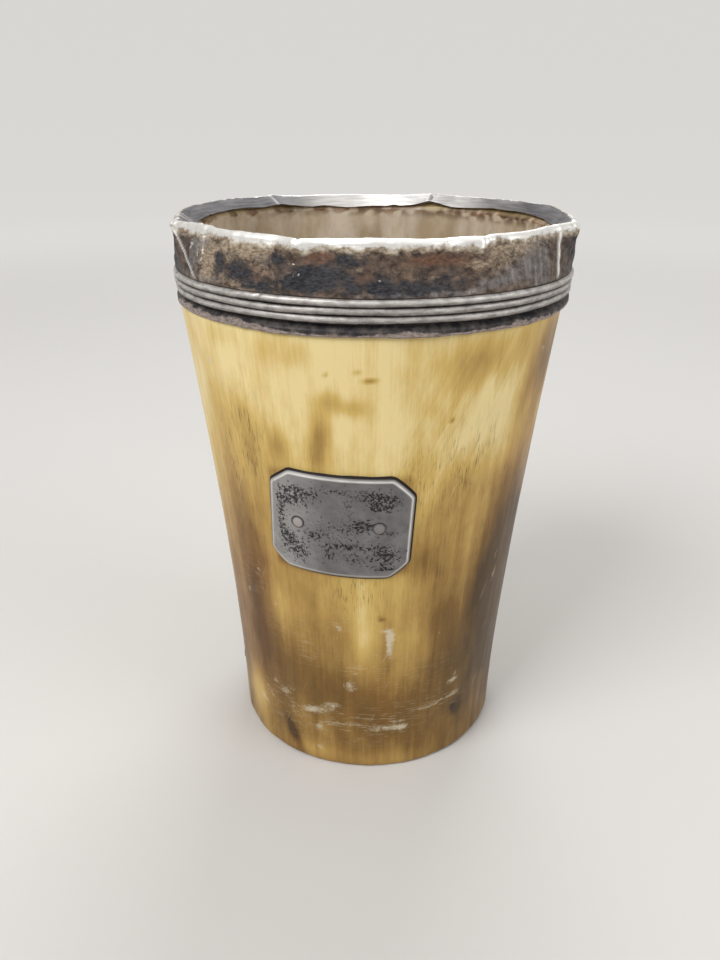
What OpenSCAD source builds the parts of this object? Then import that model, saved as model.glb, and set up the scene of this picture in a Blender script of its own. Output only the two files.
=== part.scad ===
// Horn drinking cup with a folded silver collar, a reeded band and a riveted plate.
// The foot stands on z = 0, the cup's axis is Z and the plate's side faces -Y.
// Angles on the cup run from -Y towards +X.

/* [Cup] */
// Height from the foot to the peaks of the rim
cup_h = 115; // [95:1:140]
// Outer diameter of the horn at the foot
foot_d = 60.2; // [54:0.1:66]
// Outer diameter of the horn where the silver begins
shoulder_d = 76.9; // [72:0.1:84]
// How far the flank is drawn in against a straight taper
waist_draw = 1.2; // [0:0.1:2.5]
// Thickness of the horn wall
wall = 3.2; // [2.8:0.1:4]
// Thickness of the horn wall at the mouth, dressed thin for the fold
lip_wall = 1.2; // [0.9:0.1:1.6]
// Rounding of the foot's outer edge
foot_round = 1; // [0.4:0.1:1.4]

/* [Base] */
// Height of the hollow under the base disc
foot_hollow = 9; // [5:0.5:14]
// Thickness of the base disc
disc_t = 6; // [4:0.5:9]
// Depth of the dish in the disc's upper face
dish_depth = 0.8; // [0.2:0.1:1.5]
// Number of pegs that hold the disc
pegs = 3; // [3:1:6]
// Diameter of a peg
peg_d = 1.9; // [1.2:0.1:2.6]
// How far a peg reaches into the disc
peg_bite = 4; // [2:0.5:8]
// Angle of the first peg
peg_angle = 39; // [0:1:120]

/* [Silver collar] */
// Height of the collar, from the skirt's lower edge to the rim's peaks
collar_h = 15.7; // [14.5:0.1:20]
// Thickness of the silver sheet
sheet_t = 0.4; // [0.3:0.05:0.6]
// How far the boldest rim corner stands outside the flats
corner_reach = 3.1; // [1:0.1:3.6]
// How much higher the boldest rim corner stands than the middle of a flat
corner_peak = 0.3; // [0.1:0.1:0.8]
// Radius of the rolled outer edge of the rim
roll_r = 1.1; // [0.6:0.1:1.4]
// How far a folded tab hangs below the horn's mouth, in its middle
tab_drop = 1.1; // [0.7:0.1:3]
// How far a folded tab hangs below the horn's mouth at its mitred ends
tab_end_drop = 0.4; // [0.2:0.1:0.6]
// Height of the plain skirt and its hollow below the reeds
skirt_h = 2.1; // [1.7:0.1:3]
// How far the sheet flares out over the top of the reeds
flare_reach = 0.55; // [0.1:0.05:0.6]
// Height of that flare
flare_h = 0.5; // [0.3:0.1:1]
// Thickness of the bed of pitch where it is thinnest
bed_t = 0.3; // [0.2:0.05:0.6]

/* [Reeds] */
// Number of reeds
reeds = 3; // [2:1:3]
// Height of one reed
reed_pitch = 1.375; // [1:0.025:1.5]
// Radius of a reed's rounded back
reed_r = 0.63; // [0.45:0.01:0.66]
// Thickness of the strip that carries the reeds
strip_t = 0.45; // [0.3:0.05:0.7]

/* [Plate] */
// Width of the plate, measured round the horn
plate_w = 27.4; // [22:0.1:34]
// Height of the plate
plate_h = 22.2; // [18:0.1:28]
// Thickness of the plate
plate_t = 0.7; // [0.5:0.05:1]
// Thickness of the plate at its edge
edge_t = 0.4; // [0.2:0.05:0.45]
// Width of the bevel round the plate
bevel_w = 0.7; // [0.4:0.05:1.2]
// Width of a clipped corner
clip_w = 3.7; // [2:0.1:5]
// Height of a clipped corner
clip_h = 3.2; // [2:0.1:5]
// Height of the plate's middle above the table
plate_z = 62.4; // [45:0.1:75]
// Angle of the plate's middle round the cup
plate_angle = -9.6; // [-45:0.1:45]
// Height of the rivets above the plate's middle
rivet_up = 0.3; // [-3:0.1:3]
// Distance between the two rivets, measured round the horn
rivet_gap = 15.3; // [11:0.1:18]
// Diameter of a rivet's shank
rivet_d = 1.5; // [1:0.1:2]
// Diameter of a rivet's flush head
head_d = 2.4; // [2.1:0.1:3]
// Diameter of the closed tail inside the cup
tail_d = 3.2; // [2.4:0.1:4]
// Height of the closed tail
tail_h = 0.9; // [0.5:0.1:1.3]

/* [Hidden] */
$fn = 96;
// Sides of a circle that is only a millimetre or two across
small_fn = 24;

// Clearance between pieces that are fitted together
fit = 0.05;
// How far a cut runs past the surface that it cuts
overrun = 0.5;

// Horn. Its flank is a straight taper drawn in by a lopsided curve.
foot_r = foot_d / 2;
shoulder_r = shoulder_d / 2;
collar_z = cup_h - collar_h;
waist_low_share = 0.354;
flank_steps = 16;
arc_steps = 5;
function flank_r(z) =
    let (s = z / collar_z)
    foot_r + (shoulder_r - foot_r) * s
        - 4 * waist_draw * s * (1 - s) * (1 - waist_low_share * (2 * s - 1));
// Lean of the flank's tangent from upright, taken over one wall's height
function flank_tilt(z) = atan((flank_r(z + wall / 2) - flank_r(z - wall / 2)) / wall);

// Sheet. It hugs the horn below and is folded into eight flats above.
// How far the skirt's outside stands off the horn
skirt_stand = 0.65;
skirt_r = shoulder_r + skirt_stand;
// The lower half of the skirt's height is plain, the upper half turns in to the reeds
skirt_plain_share = 0.5;
// How far the sheet is set in behind the reeds
hollow_depth = 1.1;
hollow_r = skirt_r - hollow_depth;
// Outward lean of the reeded band, as a share of its height
lean_share = 0.12;
reed_z = collar_z + skirt_h;
reeds_h = reeds * reed_pitch;
band_z = reed_z + reeds_h;
foot_z = band_z + fit;
flare_z = foot_z + flare_h;
band_foot_r = hollow_r + lean_share * reeds_h;
flare_r = band_foot_r + flare_reach;
// How far the flats of the rim lie inside the skirt
flat_draw = 2;
flat_r = skirt_r - flat_draw;
flat_top = cup_h - corner_peak;
// The horn's mouth ends where the rim's outer edge starts to roll over
horn_top = flat_top - roll_r;

// Horn under the sheet, dressed down to leave room for the pitch
lip_r = flat_r - sheet_t - bed_t - 2 * fit;
seat_r = hollow_r - sheet_t - bed_t - 2 * fit;
mouth_bore_r = lip_r - lip_wall;
bore_turn_z = collar_z - wall;
function seat_line_r(z) = seat_r + (lip_r - seat_r) * (z - reed_z) / (horn_top - reed_z);
function bore_r(z) =
    z < bore_turn_z
        ? flank_r(z) - wall
        : let (turn_r = flank_r(bore_turn_z) - wall, s = (z - bore_turn_z) / (horn_top - bore_turn_z))
          turn_r + (mouth_bore_r - turn_r) * s;

// Angles of the eight folded corners, as the hand-cut slits fell
corner_angles = [-143, -102, -66, -18.5, 27, 68, 104, 158];
// Share of the full reach that each corner has, and that the round between it and the
// next corner keeps where the fold was left soft
reach_shares = [1, 0.65, 0.85, 0.5, 0.4, 1, 0.6, 1];
soft_shares = [0.5, 0.5, 0, 0, 0, 0.45, 0, 0];
corners = len(corner_angles);
facet_steps = 10;
function corner_at(i) = corner_angles[i % corners] + 360 * floor(i / corners);
function corner_reach_r(i) = flat_r + corner_reach * reach_shares[i % corners];
facet_angles = [for (i = [0 : corners - 1], j = [0 : facet_steps - 1])
    [i, corner_at(i) + (corner_at(i + 1) - corner_at(i)) * j / facet_steps]];

// Radius of a straight fold between two corners, never inside the round that is left there
function fold_r(f) =
    let (a = corner_at(f[0]), b = corner_at(f[0] + 1),
         a_r = corner_reach_r(f[0]), b_r = corner_reach_r(f[0] + 1),
         chord_r = a_r * b_r * sin(b - a) / (a_r * sin(f[1] - a) + b_r * sin(b - f[1])))
    max(chord_r, flat_r + corner_reach * soft_shares[f[0]]);
// 1 at the boldest corner and 0 where the fold touches the innermost round
function corner_share(f) = (fold_r(f) - flat_r) / corner_reach;
function crest_z(f) = flat_top + corner_peak * corner_share(f);
// 1 at both ends of a tab and 0 in its middle
function end_share(f) =
    let (a = corner_at(f[0]), b = corner_at(f[0] + 1)) pow(2 * (f[1] - a) / (b - a) - 1, 2);
function tab_z(f) = horn_top - tab_drop + (tab_drop - tab_end_drop) * end_share(f);

// Outer radius of the sheet above the reeds: a short flare, then round turns to folded
band_steps = 4;
band_levels = concat([foot_z],
    [for (i = [0 : band_steps]) flare_z + (horn_top - flare_z) * i / band_steps]);
function band_r(f, z) =
    z < flare_z
        ? band_foot_r + flare_reach * (z - foot_z) / flare_h
        : flare_r + (fold_r(f) - flare_r) * (z - flare_z) / (horn_top - flare_z);
tab_inner_r = mouth_bore_r - fit - sheet_t;

// The sheet's outer line at facet angle f, from the skirt up to the roll, set in by t
function sheet_flank(f, t) = concat(
    [[skirt_r - t, collar_z], [skirt_r - t, collar_z + skirt_h * skirt_plain_share],
     [hollow_r - t, reed_z - fit]],
    [for (z = band_levels) [band_r(f, z) - t, z]]);
// From the roll's crest the sheet slopes in over the horn's mouth and hangs down as a tab
function sheet_outline(f) =
    let (top = crest_z(f), low = tab_z(f), r = fold_r(f), inner = sheet_flank(f, sheet_t),
         rise = top - flat_top,
         roll = [for (i = [1 : arc_steps])
             let (a = 90 * i / arc_steps)
             [r - roll_r * (1 - cos(a)), horn_top + (roll_r + rise) * sin(a)]],
         round_in = [for (i = [0 : arc_steps])
             let (a = 90 * i / arc_steps)
             [tab_inner_r + sheet_t * (1 - sin(a)), horn_top + fit + sheet_t * cos(a)]])
    concat(sheet_flank(f, 0), roll, round_in,
        [[tab_inner_r, low], [tab_inner_r + sheet_t, low],
         [tab_inner_r + sheet_t, horn_top + fit], [r - roll_r, top - sheet_t]],
        [for (i = [len(inner) - 1 : -1 : 0]) inner[i]]);

// Pitch, between the horn's dressed seat and the sheet's back
bed_levels = concat([reed_z], band_levels);
function bed_outline(f) =
    concat([for (z = bed_levels) [sheet_back_r(f, z) - fit, z]],
        [for (i = [len(bed_levels) - 1 : -1 : 0]) [seat_line_r(bed_levels[i]) + fit, bed_levels[i]]]);
function sheet_back_r(f, z) =
    (z < foot_z
        ? hollow_r + (band_foot_r - hollow_r) * (z - reed_z) / (foot_z - reed_z)
        : band_r(f, z)) - sheet_t;

// Plate and rivets
plate_half_angle = asin(plate_w / 2 / flank_r(plate_z));
bevel_angle = atan((plate_t - edge_t) / bevel_w);
clip_angle = atan(clip_w / clip_h);
plate_steps = 4;
// Part of the plate's half angle that is added and then trimmed off
spare_share = 1 / 8;
rivet_half_angle = rivet_gap / 2 / flank_r(plate_z) * 180 / PI;
rivet_angles = [plate_angle - rivet_half_angle, plate_angle + rivet_half_angle];
rivet_z = plate_z + rivet_up;
// The head is sunk through two thirds of the plate and stands a little proud
sink_t = plate_t * 2 / 3;
head_crown = 0.15;
// Shares of the radius and the height of the rounded head, and of the rounded tail
crown_shares = [[1, 0], [0.5, 0.75], [0, 1]];
tail_shares = [[0, 1], [0.5, 0.9], [0.85, 0.5], [1, 0]];
tail_seat = 2 * fit;

// Pieces of horn, silver and pitch in the colours of the real ones
horn_colour = "#c7a25a";
disc_colour = "#8a6a3c";
peg_colour = "#4f3a2a";
silver_colour = "#a9a49c";
bright_silver_colour = "#c4c1ba";
pitch_colour = "#4a3022";

// A point of an outline at angle f[1], turned round the cup's axis
function turned(f, p) = [p[0] * sin(f[1]), -p[0] * cos(f[1]), p[1]];

// A closed skin over one closed outline for each facet angle. Its quads are split along
// the other diagonal where mirrored is true, so that two skins can lie back to back.
module ring_of(outlines, mirrored) {
    n = len(outlines);
    m = len(outlines[0]);
    polyhedron(
        points = [for (j = [0 : n - 1], p = outlines[j]) turned(facet_angles[j], p)],
        faces = [for (j = [0 : n - 1], i = [0 : m - 1], half = [0, 1])
            let (j2 = (j + 1) % n, i2 = (i + 1) % m,
                 a = j * m + i, b = j2 * m + i, c = j2 * m + i2, d = j * m + i2)
            mirrored
                ? (half == 0 ? [a, d, b] : [b, d, c])
                : (half == 0 ? [a, d, c] : [a, c, b])],
        convexity = 6);
}

// Children stand on the flank, with their z along the wall's outward normal
module on_flank(angle, z) {
    rotate([0, 0, angle])
        translate([0, -flank_r(z), z])
            rotate([90 + flank_tilt(z), 0, 0])
                children();
}

function foot_arc() = [for (i = [0 : arc_steps])
    let (a = 90 * i / arc_steps)
    [flank_r(foot_round) - foot_round * (1 - sin(a)), foot_round * (1 - cos(a))]];
function flank_line() = [for (i = [1 : flank_steps])
    let (z = foot_round + (collar_z - foot_round) * i / flank_steps) [flank_r(z), z]];
function bore_line() = [for (i = [flank_steps : -1 : 0])
    let (z = bore_turn_z * i / flank_steps) [bore_r(z), z]];

// The horn's outside, filled to the axis
module horn_blank() {
    rotate_extrude()
        polygon(concat([[0, 0]], foot_arc(), flank_line(),
            [[seat_r, reed_z], [lip_r, horn_top], [0, horn_top]]));
}

module peg_pin(extra) {
    peg_z = foot_hollow + disc_t / 2;
    for (i = [0 : pegs - 1])
        on_flank(peg_angle + 360 / pegs * i, peg_z)
            translate([0, 0, -wall - peg_bite - extra])
                cylinder(d = peg_d + 2 * extra, h = wall + peg_bite + overrun + extra);
}

module horn_body() {
    color(horn_colour)
        difference() {
            rotate_extrude()
                polygon(concat(foot_arc(), flank_line(),
                    [[seat_r, reed_z], [lip_r, horn_top], [mouth_bore_r, horn_top]],
                    bore_line()));
            peg_pin(fit);
            for (a = rivet_angles)
                on_flank(a, rivet_z)
                    translate([0, 0, -wall - overrun])
                        cylinder(d = rivet_d + 2 * fit, h = wall + 2 * overrun);
        }
}

module base_disc() {
    top = foot_hollow + disc_t;
    edge = dish_depth / 2;
    side_r = bore_r(top) - fit;
    color(disc_colour)
        difference() {
            rotate_extrude()
                polygon([[0, foot_hollow],
                    [bore_r(foot_hollow) - fit, foot_hollow],
                    [side_r, top - edge],
                    [side_r - edge, top],
                    [side_r - wall, top],
                    [side_r / 2, top - dish_depth * 3 / 4],
                    [0, top - dish_depth]]);
            peg_pin(fit);
        }
}

module base_pegs() {
    color(peg_colour)
        intersection() {
            peg_pin(0);
            horn_blank();
        }
}

module pitch_bed() {
    color(pitch_colour)
        ring_of([for (f = facet_angles) bed_outline(f)], true);
}

module rim_band() {
    color(silver_colour)
        ring_of([for (f = facet_angles) sheet_outline(f)], false);
}

module reed_moulding() {
    back_r = hollow_r + fit;
    color(bright_silver_colour)
        rotate_extrude()
            intersection() {
                union() {
                    polygon([[back_r, reed_z], [back_r + strip_t, reed_z],
                        [back_r + strip_t + lean_share * reeds_h, band_z],
                        [back_r + lean_share * reeds_h, band_z]]);
                    for (i = [0 : reeds - 1]) {
                        up = reed_pitch * (i + 1 / 2);
                        translate([back_r + strip_t + lean_share * up, reed_z + up])
                            circle(r = reed_r, $fn = small_fn);
                    }
                }
                polygon([[back_r, reed_z], [back_r + 2 * reed_pitch, reed_z],
                    [back_r + 2 * reed_pitch, band_z], [back_r + lean_share * reeds_h, band_z]]);
            }
}

// Profile of the plate, which follows the flank and thins towards its upper and lower edge
function plate_outline() =
    let (low = plate_z - plate_h / 2, high = plate_z + plate_h / 2)
    concat(
        [for (i = [0 : plate_steps])
            let (z = high - plate_h * i / plate_steps) [flank_r(z) + fit, z]],
        [[flank_r(low) + fit + edge_t, low]],
        [for (i = [0 : plate_steps])
            let (z = low + bevel_w + (plate_h - 2 * bevel_w) * i / plate_steps)
            [flank_r(z) + fit + plate_t, z]],
        [[flank_r(high) + fit + edge_t, high]]);

// Trims the plate square at an edge and bevels it, with the waste on the child's +x side
module edge_trim(angle, z, turn, waste, length) {
    on_flank(angle, z)
        rotate([0, 0, turn]) {
            translate([0, -length / 2, -waste])
                cube([waste, length, 2 * waste]);
            translate([0, 0, fit + edge_t])
                rotate([0, bevel_angle, 0])
                    translate([-2 * bevel_w, -length / 2, 0])
                        cube([waste + 2 * bevel_w, length, waste]);
        }
}

module front_plate() {
    reach_angle = plate_half_angle * (1 + spare_share);
    clip_side = 1 - clip_w / plate_w;
    clip_up = (plate_h - clip_h) / 2;
    color(silver_colour)
        difference() {
            rotate([0, 0, plate_angle - reach_angle - 90])
                rotate_extrude(angle = 2 * reach_angle)
                    polygon(plate_outline());
            for (side = [-1, 1]) {
                edge_trim(plate_angle + side * plate_half_angle, plate_z,
                    side > 0 ? 0 : 180, clip_w, plate_h + clip_h);
                for (up = [-1, 1])
                    edge_trim(plate_angle + side * plate_half_angle * clip_side,
                        plate_z + up * clip_up,
                        side > 0 ? up * (90 - clip_angle) : 180 - up * (90 - clip_angle),
                        clip_w, 3 * clip_w);
            }
            for (a = rivet_angles)
                on_flank(a, rivet_z) {
                    cylinder(d = rivet_d + 2 * fit, h = plate_t + overrun);
                    translate([0, 0, fit + plate_t - sink_t])
                        cylinder(d1 = rivet_d + 2 * fit, d2 = head_d + 2 * fit, h = sink_t);
                    translate([0, 0, fit + plate_t])
                        cylinder(d = head_d + 2 * fit, h = overrun);
                }
        }
}

module plate_rivets() {
    seat = -wall - tail_seat;
    face = fit + plate_t;
    color(bright_silver_colour)
        for (a = rivet_angles)
            on_flank(a, rivet_z)
                rotate_extrude()
                    polygon(concat(
                        [for (s = tail_shares) [tail_d / 2 * s[0], seat - tail_h * s[1]]],
                        [[rivet_d / 2, seat], [rivet_d / 2, face - sink_t]],
                        [for (s = crown_shares) [head_d / 2 * s[0], face + head_crown * s[1]]]));
}

horn_body();
base_disc();
base_pegs();
pitch_bed();
rim_band();
reed_moulding();
front_plate();
plate_rivets();
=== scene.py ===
# %% [markdown]
# # A horn drinking cup with a folded silver collar
#
# The real cup is a straight length of cow horn, scraped smooth, with a disc let into its
# foot, a collar of silver sheet folded over its mouth and a small plate riveted to its
# side. This script loads the measured solids of the cup and builds the surfaces that show.
# Each surface is a function of the angle round the cup and the height above the foot. It is
# worked out with numpy in millimetres, as whole arrays, and made a mesh in the last step.

# %% Load the solids
import math

import bmesh
import bpy
import numpy as np
from mathutils import Matrix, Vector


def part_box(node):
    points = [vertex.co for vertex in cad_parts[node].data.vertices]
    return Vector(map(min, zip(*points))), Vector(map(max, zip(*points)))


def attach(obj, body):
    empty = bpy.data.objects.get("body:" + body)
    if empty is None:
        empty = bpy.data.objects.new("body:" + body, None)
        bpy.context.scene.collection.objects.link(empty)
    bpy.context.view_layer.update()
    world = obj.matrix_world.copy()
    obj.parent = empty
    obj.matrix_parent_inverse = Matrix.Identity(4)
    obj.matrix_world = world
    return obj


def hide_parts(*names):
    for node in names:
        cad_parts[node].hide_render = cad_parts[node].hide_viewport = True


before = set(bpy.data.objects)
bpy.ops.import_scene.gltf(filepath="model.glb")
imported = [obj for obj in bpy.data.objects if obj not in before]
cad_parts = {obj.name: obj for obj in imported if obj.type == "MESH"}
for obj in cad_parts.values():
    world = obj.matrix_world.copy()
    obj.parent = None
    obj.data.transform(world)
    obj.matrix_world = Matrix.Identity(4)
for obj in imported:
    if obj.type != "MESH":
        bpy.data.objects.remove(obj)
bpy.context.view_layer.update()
MM = 0.001
print("solids:", sorted(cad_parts))

# %% [markdown]
# ## The camera
#
# The camera stands where the photograph was taken: 164 mm in front of the cup's axis and
# 131 mm above the table, tipped down 24.5 degrees. The lens is given as a focal length in
# pixels of a picture 960 high, because that is how it was fitted to the cup's outline.
# Blender's sensor width belongs to the long side of the picture, so 36 mm stand for 960.

# %% Place the camera
CAMERA_BACK = 163.5
CAMERA_UP = 131.2
FOCAL_PX = 789.3
PICTURE_H_PX = 960
SENSOR_MM = 36.0
PITCH, YAW, ROLL = 0.428, -0.013, 0.003

ahead = np.array([math.sin(YAW) * math.cos(PITCH), math.cos(YAW) * math.cos(PITCH), -math.sin(PITCH)])
level = np.array([math.cos(YAW), -math.sin(YAW), 0.0])
above = np.cross(level, ahead)
right = math.cos(ROLL) * level + math.sin(ROLL) * above
upward = math.cos(ROLL) * above - math.sin(ROLL) * level

lens = bpy.data.cameras.new("camera")
lens.sensor_width = SENSOR_MM
lens.lens = FOCAL_PX / PICTURE_H_PX * SENSOR_MM
lens.clip_start = 0.01
camera = bpy.data.objects.new("camera", lens)
turned = Matrix(np.column_stack([right, upward, -ahead]).tolist()).to_4x4()
camera.matrix_world = Matrix.Translation((0, -CAMERA_BACK * MM, CAMERA_UP * MM)) @ turned
bpy.context.scene.collection.objects.link(camera)
bpy.context.scene.camera = camera
print(f"lens of {lens.lens:.1f} mm, {CAMERA_BACK} mm in front and {CAMERA_UP} mm up")

# %% [markdown]
# ## Sizes taken from the solids
#
# The heights and radii come from the loaded solids, so the surfaces lie where the solids
# are. What a box can't tell, such as how the flank is drawn in, has the value it was made
# with. Angles run from the side with the plate, which faces -Y, towards +X.

# %% Measure the solids


def span(name):
    """Lowest and highest corner of one solid, in millimetres."""
    low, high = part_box(name)
    return np.array(low) / MM, np.array(high) / MM


def widest(name, low, high):
    """Largest distance from the axis of a solid's corners between two heights, in millimetres."""
    corners = np.empty(3 * len(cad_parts[name].data.vertices))
    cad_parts[name].data.vertices.foreach_get("co", corners)
    corners = corners.reshape(-1, 3) / MM
    inside = (corners[:, 2] > low) & (corners[:, 2] < high)
    return float(np.hypot(corners[inside, 0], corners[inside, 1]).max())


FOOT_ROUND = 1.0
FOOT_R = widest("horn_body", FOOT_ROUND / 2, 2 * FOOT_ROUND)
SHOULDER_R = widest("horn_body", 90.0, 110.0)
HORN_TOP = span("horn_body")[1][2]
COLLAR_Z, CUP_H = span("rim_band")[0][2], span("rim_band")[1][2]
REED_Z, BAND_Z = span("reed_moulding")[0][2], span("reed_moulding")[1][2]
DISC_LOW, DISC_HIGH = span("base_disc")[0][2], span("base_disc")[1][2]
PLATE_Z = 62.4
PLATE_ANGLE = -9.6
WALL = 3.2
WAIST_DRAW = 1.2
WAIST_LOW_SHARE = 0.354
print(f"foot {FOOT_R:.2f}, shoulder {SHOULDER_R:.2f}, collar from {COLLAR_Z:.1f} to {CUP_H:.1f} mm")

# %% [markdown]
# ## Tools for making a surface
#
# A surface starts as a grid of points. `grid_faces` joins neighbours into quads, `solid`
# makes the mesh and turns its faces outwards, `ripple` gives the slight unevenness that
# hand work leaves, and `marks` lays soft oval marks at chosen places.

# %% Grids, meshes and relief


def turn(angle, radius, height):
    """Points round the axis: x = radius sin angle, y = -radius cos angle, z = height."""
    angle, radius, height = np.broadcast_arrays(angle, radius, height)
    return np.stack([radius * np.sin(angle), -radius * np.cos(angle), height], axis=-1)


def grid_faces(rows, columns, close_rows=True):
    """Quads of a grid whose columns close, four point numbers each; rows close if asked."""
    row = np.arange(rows if close_rows else rows - 1)[:, None]
    column = np.arange(columns)[None, :]
    row_after, column_after = (row + 1) % rows, (column + 1) % columns
    corners = [row * columns + column, row * columns + column_after,
               row_after * columns + column_after, row_after * columns + column]
    return np.stack(np.broadcast_arrays(*corners), axis=-1).reshape(-1, 4)


def solid(name, points, faces, fields=None, sharp=50.0, weld=False):
    """Mesh object from points in mm and quads. Faces point outwards: where the volume, a sum
    of the triangles' triple products, is negative, their order is reversed."""
    points = np.asarray(points, float).reshape(-1, 3)
    a, b, c, d = (points[faces[:, k]] for k in range(4))
    volume = np.sum(a * (np.cross(b, c) + np.cross(c, d))) / 6
    if volume < 0:
        faces = faces[:, ::-1]
    mesh = bpy.data.meshes.new(name)
    mesh.from_pydata((points * MM).tolist(), [], faces.tolist())
    for field, values in (fields or {}).items():
        values = np.asarray(values, np.float32)
        if values.ndim == 3:
            layer = mesh.attributes.new(field, "FLOAT_VECTOR", "POINT")
            layer.data.foreach_set("vector", values.ravel())
        else:
            layer = mesh.attributes.new(field, "FLOAT", "POINT")
            layer.data.foreach_set("value", values.ravel())
    if weld:
        work = bmesh.new()
        work.from_mesh(mesh)
        bmesh.ops.remove_doubles(work, verts=work.verts, dist=1e-6)
        work.to_mesh(mesh)
        work.free()
    mesh.shade_smooth()
    mesh.set_sharp_from_angle(angle=math.radians(sharp))
    made = bpy.data.objects.new(name, mesh)
    bpy.context.scene.collection.objects.link(made)
    print(f"{name}: {len(mesh.vertices)} points, {abs(volume):.0f} cubic mm")
    return made


def ripple(angle, height, size, seed, stretch=1.0, waves=48, radius=37.0):
    """Smooth random relief of unit spread that closes round the cup: a sum of cosines whose
    crests lie about size mm apart round the cup and stretch times that along it."""
    dice = np.random.default_rng(seed)
    heading = dice.uniform(0, 2 * np.pi, waves)
    pace = 2 * np.pi / (size * dice.uniform(0.7, 1.6, waves))
    round_cup = np.round(pace * np.cos(heading) * radius)
    along_cup = pace * np.sin(heading) / stretch
    phase = dice.uniform(0, 2 * np.pi, waves)
    total = sum(np.cos(m * angle + q * height + p) for m, q, p in zip(round_cup, along_cup, phase))
    return total * math.sqrt(2 / waves)


def side_of(angle, at, radius):
    """Distance round the cup from an angle in degrees, in mm, the short way."""
    return np.angle(np.exp(1j * (angle - math.radians(at)))) * radius


def marks(angle, height, places):
    """Sum of soft oval marks: strength times exp of minus the squared distance over half sizes.
    A place is angle in degrees, height, half width, half height and strength, and then the
    sideways lean of a mark that leans."""
    total = np.zeros(np.broadcast(angle, height).shape)
    for at, up, half_width, half_height, strength, *lean in places:
        across = side_of(angle, at, SHOULDER_R) - sum(lean) * (height - up)
        total += strength * np.exp(-(across / half_width) ** 2 - ((height - up) / half_height) ** 2)
    return total


def ease(value, low, high):
    """0 below low, 1 above high and a smooth s-curve between them."""
    share = np.clip((value - low) / (high - low), 0, 1)
    return share * share * (3 - 2 * share)


def arc(count):
    """Sines and cosines of a quarter turn in count steps, both as columns."""
    angle = np.linspace(0, np.pi / 2, count)[:, None]
    return np.sin(angle), np.cos(angle)


# %% [markdown]
# ## Tools for making a finish
#
# Every finish is a small network of shader nodes. `add` makes one node, sets its properties
# and fills or links its inputs, and that is all the networks need. Colours are written as
# they look on screen, and `paint` turns them to the linear values that a shader wants. Where
# a piece is scuffed or worn is a field that its mesh holds, and an Attribute node reads it.
# Three steps come back in the finishes: `spots` draws noise of a real size, `between` mixes
# two colours, and `plug` links the results to the shader.

# %% Colours and nodes


def paint(code):
    """Linear colour of an sRGB hex value such as '#c8a060'."""
    value = np.array([int(code[k:k + 2], 16) for k in (1, 3, 5)]) / 255
    linear = np.where(value <= 0.04045, value / 12.92, ((value + 0.055) / 1.055) ** 2.4)
    return (*linear.tolist(), 1.0)


def add(tree, kind, *values, out=None, stops=None, **settings):
    """Adds a node, sets its properties, and fills or links its inputs in their order.
    Returns its first output, or the one named by out. stops are a colour ramp's places."""
    made = tree.nodes.new("ShaderNode" + kind)
    for name, value in settings.items():
        setattr(made, name, value)
    for number, (place, colour) in enumerate(stops or []):
        ramp = made.color_ramp.elements
        stop = ramp[number] if number < len(ramp) else ramp.new(place)
        stop.position = place
        stop.color = colour
    sockets = [socket for socket in made.inputs if socket.enabled]
    for socket, value in zip(sockets, values):
        if isinstance(value, bpy.types.NodeSocket):
            tree.links.new(value, socket)
        elif value is not None:
            socket.default_value = value
    return made.outputs[out] if out else next(socket for socket in made.outputs if socket.enabled)


def spots(tree, place, across_mm, along_mm, detail=3.0, rough=0.55, warp=0.0):
    """Noise whose spots are so many millimetres across, and so many long up the cup. Warp
    drags the spots out of shape, as a stain creeps."""
    scale = (1 / (across_mm * MM), 1 / (across_mm * MM), 1 / (along_mm * MM))
    drawn = add(tree, "VectorMath", place, scale, operation="MULTIPLY")
    return add(tree, "TexNoise", drawn, 1.0, detail, rough, 2.0, warp)


def between(tree, share, low, high, first, second):
    """Two colours mixed by a share as it passes from low to high."""
    passed = add(tree, "MapRange", share, low, high)
    return add(tree, "Mix", passed, paint(first), paint(second), data_type="RGBA")


def finish(name, **values):
    """A new material with its shader's plain values set; returns material, tree and shader."""
    material = bpy.data.materials.new(name)
    material.use_nodes = True
    shader = material.node_tree.nodes["Principled BSDF"]
    for socket, value in values.items():
        shader.inputs[socket.replace("_", " ")].default_value = value
    return material, material.node_tree, shader


def plug(tree, shader, **sources):
    """Links outputs to the shader's sockets of the same names."""
    for socket, source in sources.items():
        tree.links.new(source, shader.inputs[socket.replace("_", " ")])


def dress(piece, material, slot, *replaced):
    """Gives a piece its finish, lets it ride on the cup's one body and hides the solids it replaces."""
    piece.data.materials.clear()
    piece.data.materials.append(material)
    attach(piece, "root")
    if replaced:
        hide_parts(*replaced)


# %% [markdown]
# ## The horn's shape
#
# Horn is scraped, not turned. The flank is a straight taper that is drawn in a little below
# the middle, and the scraper leaves long shallow flats that run up the wall. They are only
# a few hundredths of a millimetre deep, but they break up the long highlights. The outline
# goes up the flank, under the silver, over the mouth and down the bore, and every column of
# the grid repeats it, so the wall is one closed skin.

# %% Work out the horn's wall
MOUTH_BORE_R = 35.1
SEAT_R = 37.2
LIP_R = 36.3
MOUTH_HIGH = HORN_TOP - 0.3
MOUTH_LOW = HORN_TOP - 1.6
PEAK_ROOM = 0.3
RIM_TILT = 0.3
TAB_DEPTH = 2.2
BEAD_ROOM = 5.0
BORE_TURN_Z = COLLAR_Z - WALL
PEG_ANGLES = [39.0, 159.0, 279.0]
PEG_Z = (DISC_LOW + DISC_HIGH) / 2


def flank(z):
    """Outer radius of the horn: a straight taper, drawn in by a lopsided arch."""
    share = z / COLLAR_Z
    arch = 4 * WAIST_DRAW * share * (1 - share) * (1 - WAIST_LOW_SHARE * (2 * share - 1))
    return FOOT_R + (SHOULDER_R - FOOT_R) * share - arch


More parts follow.
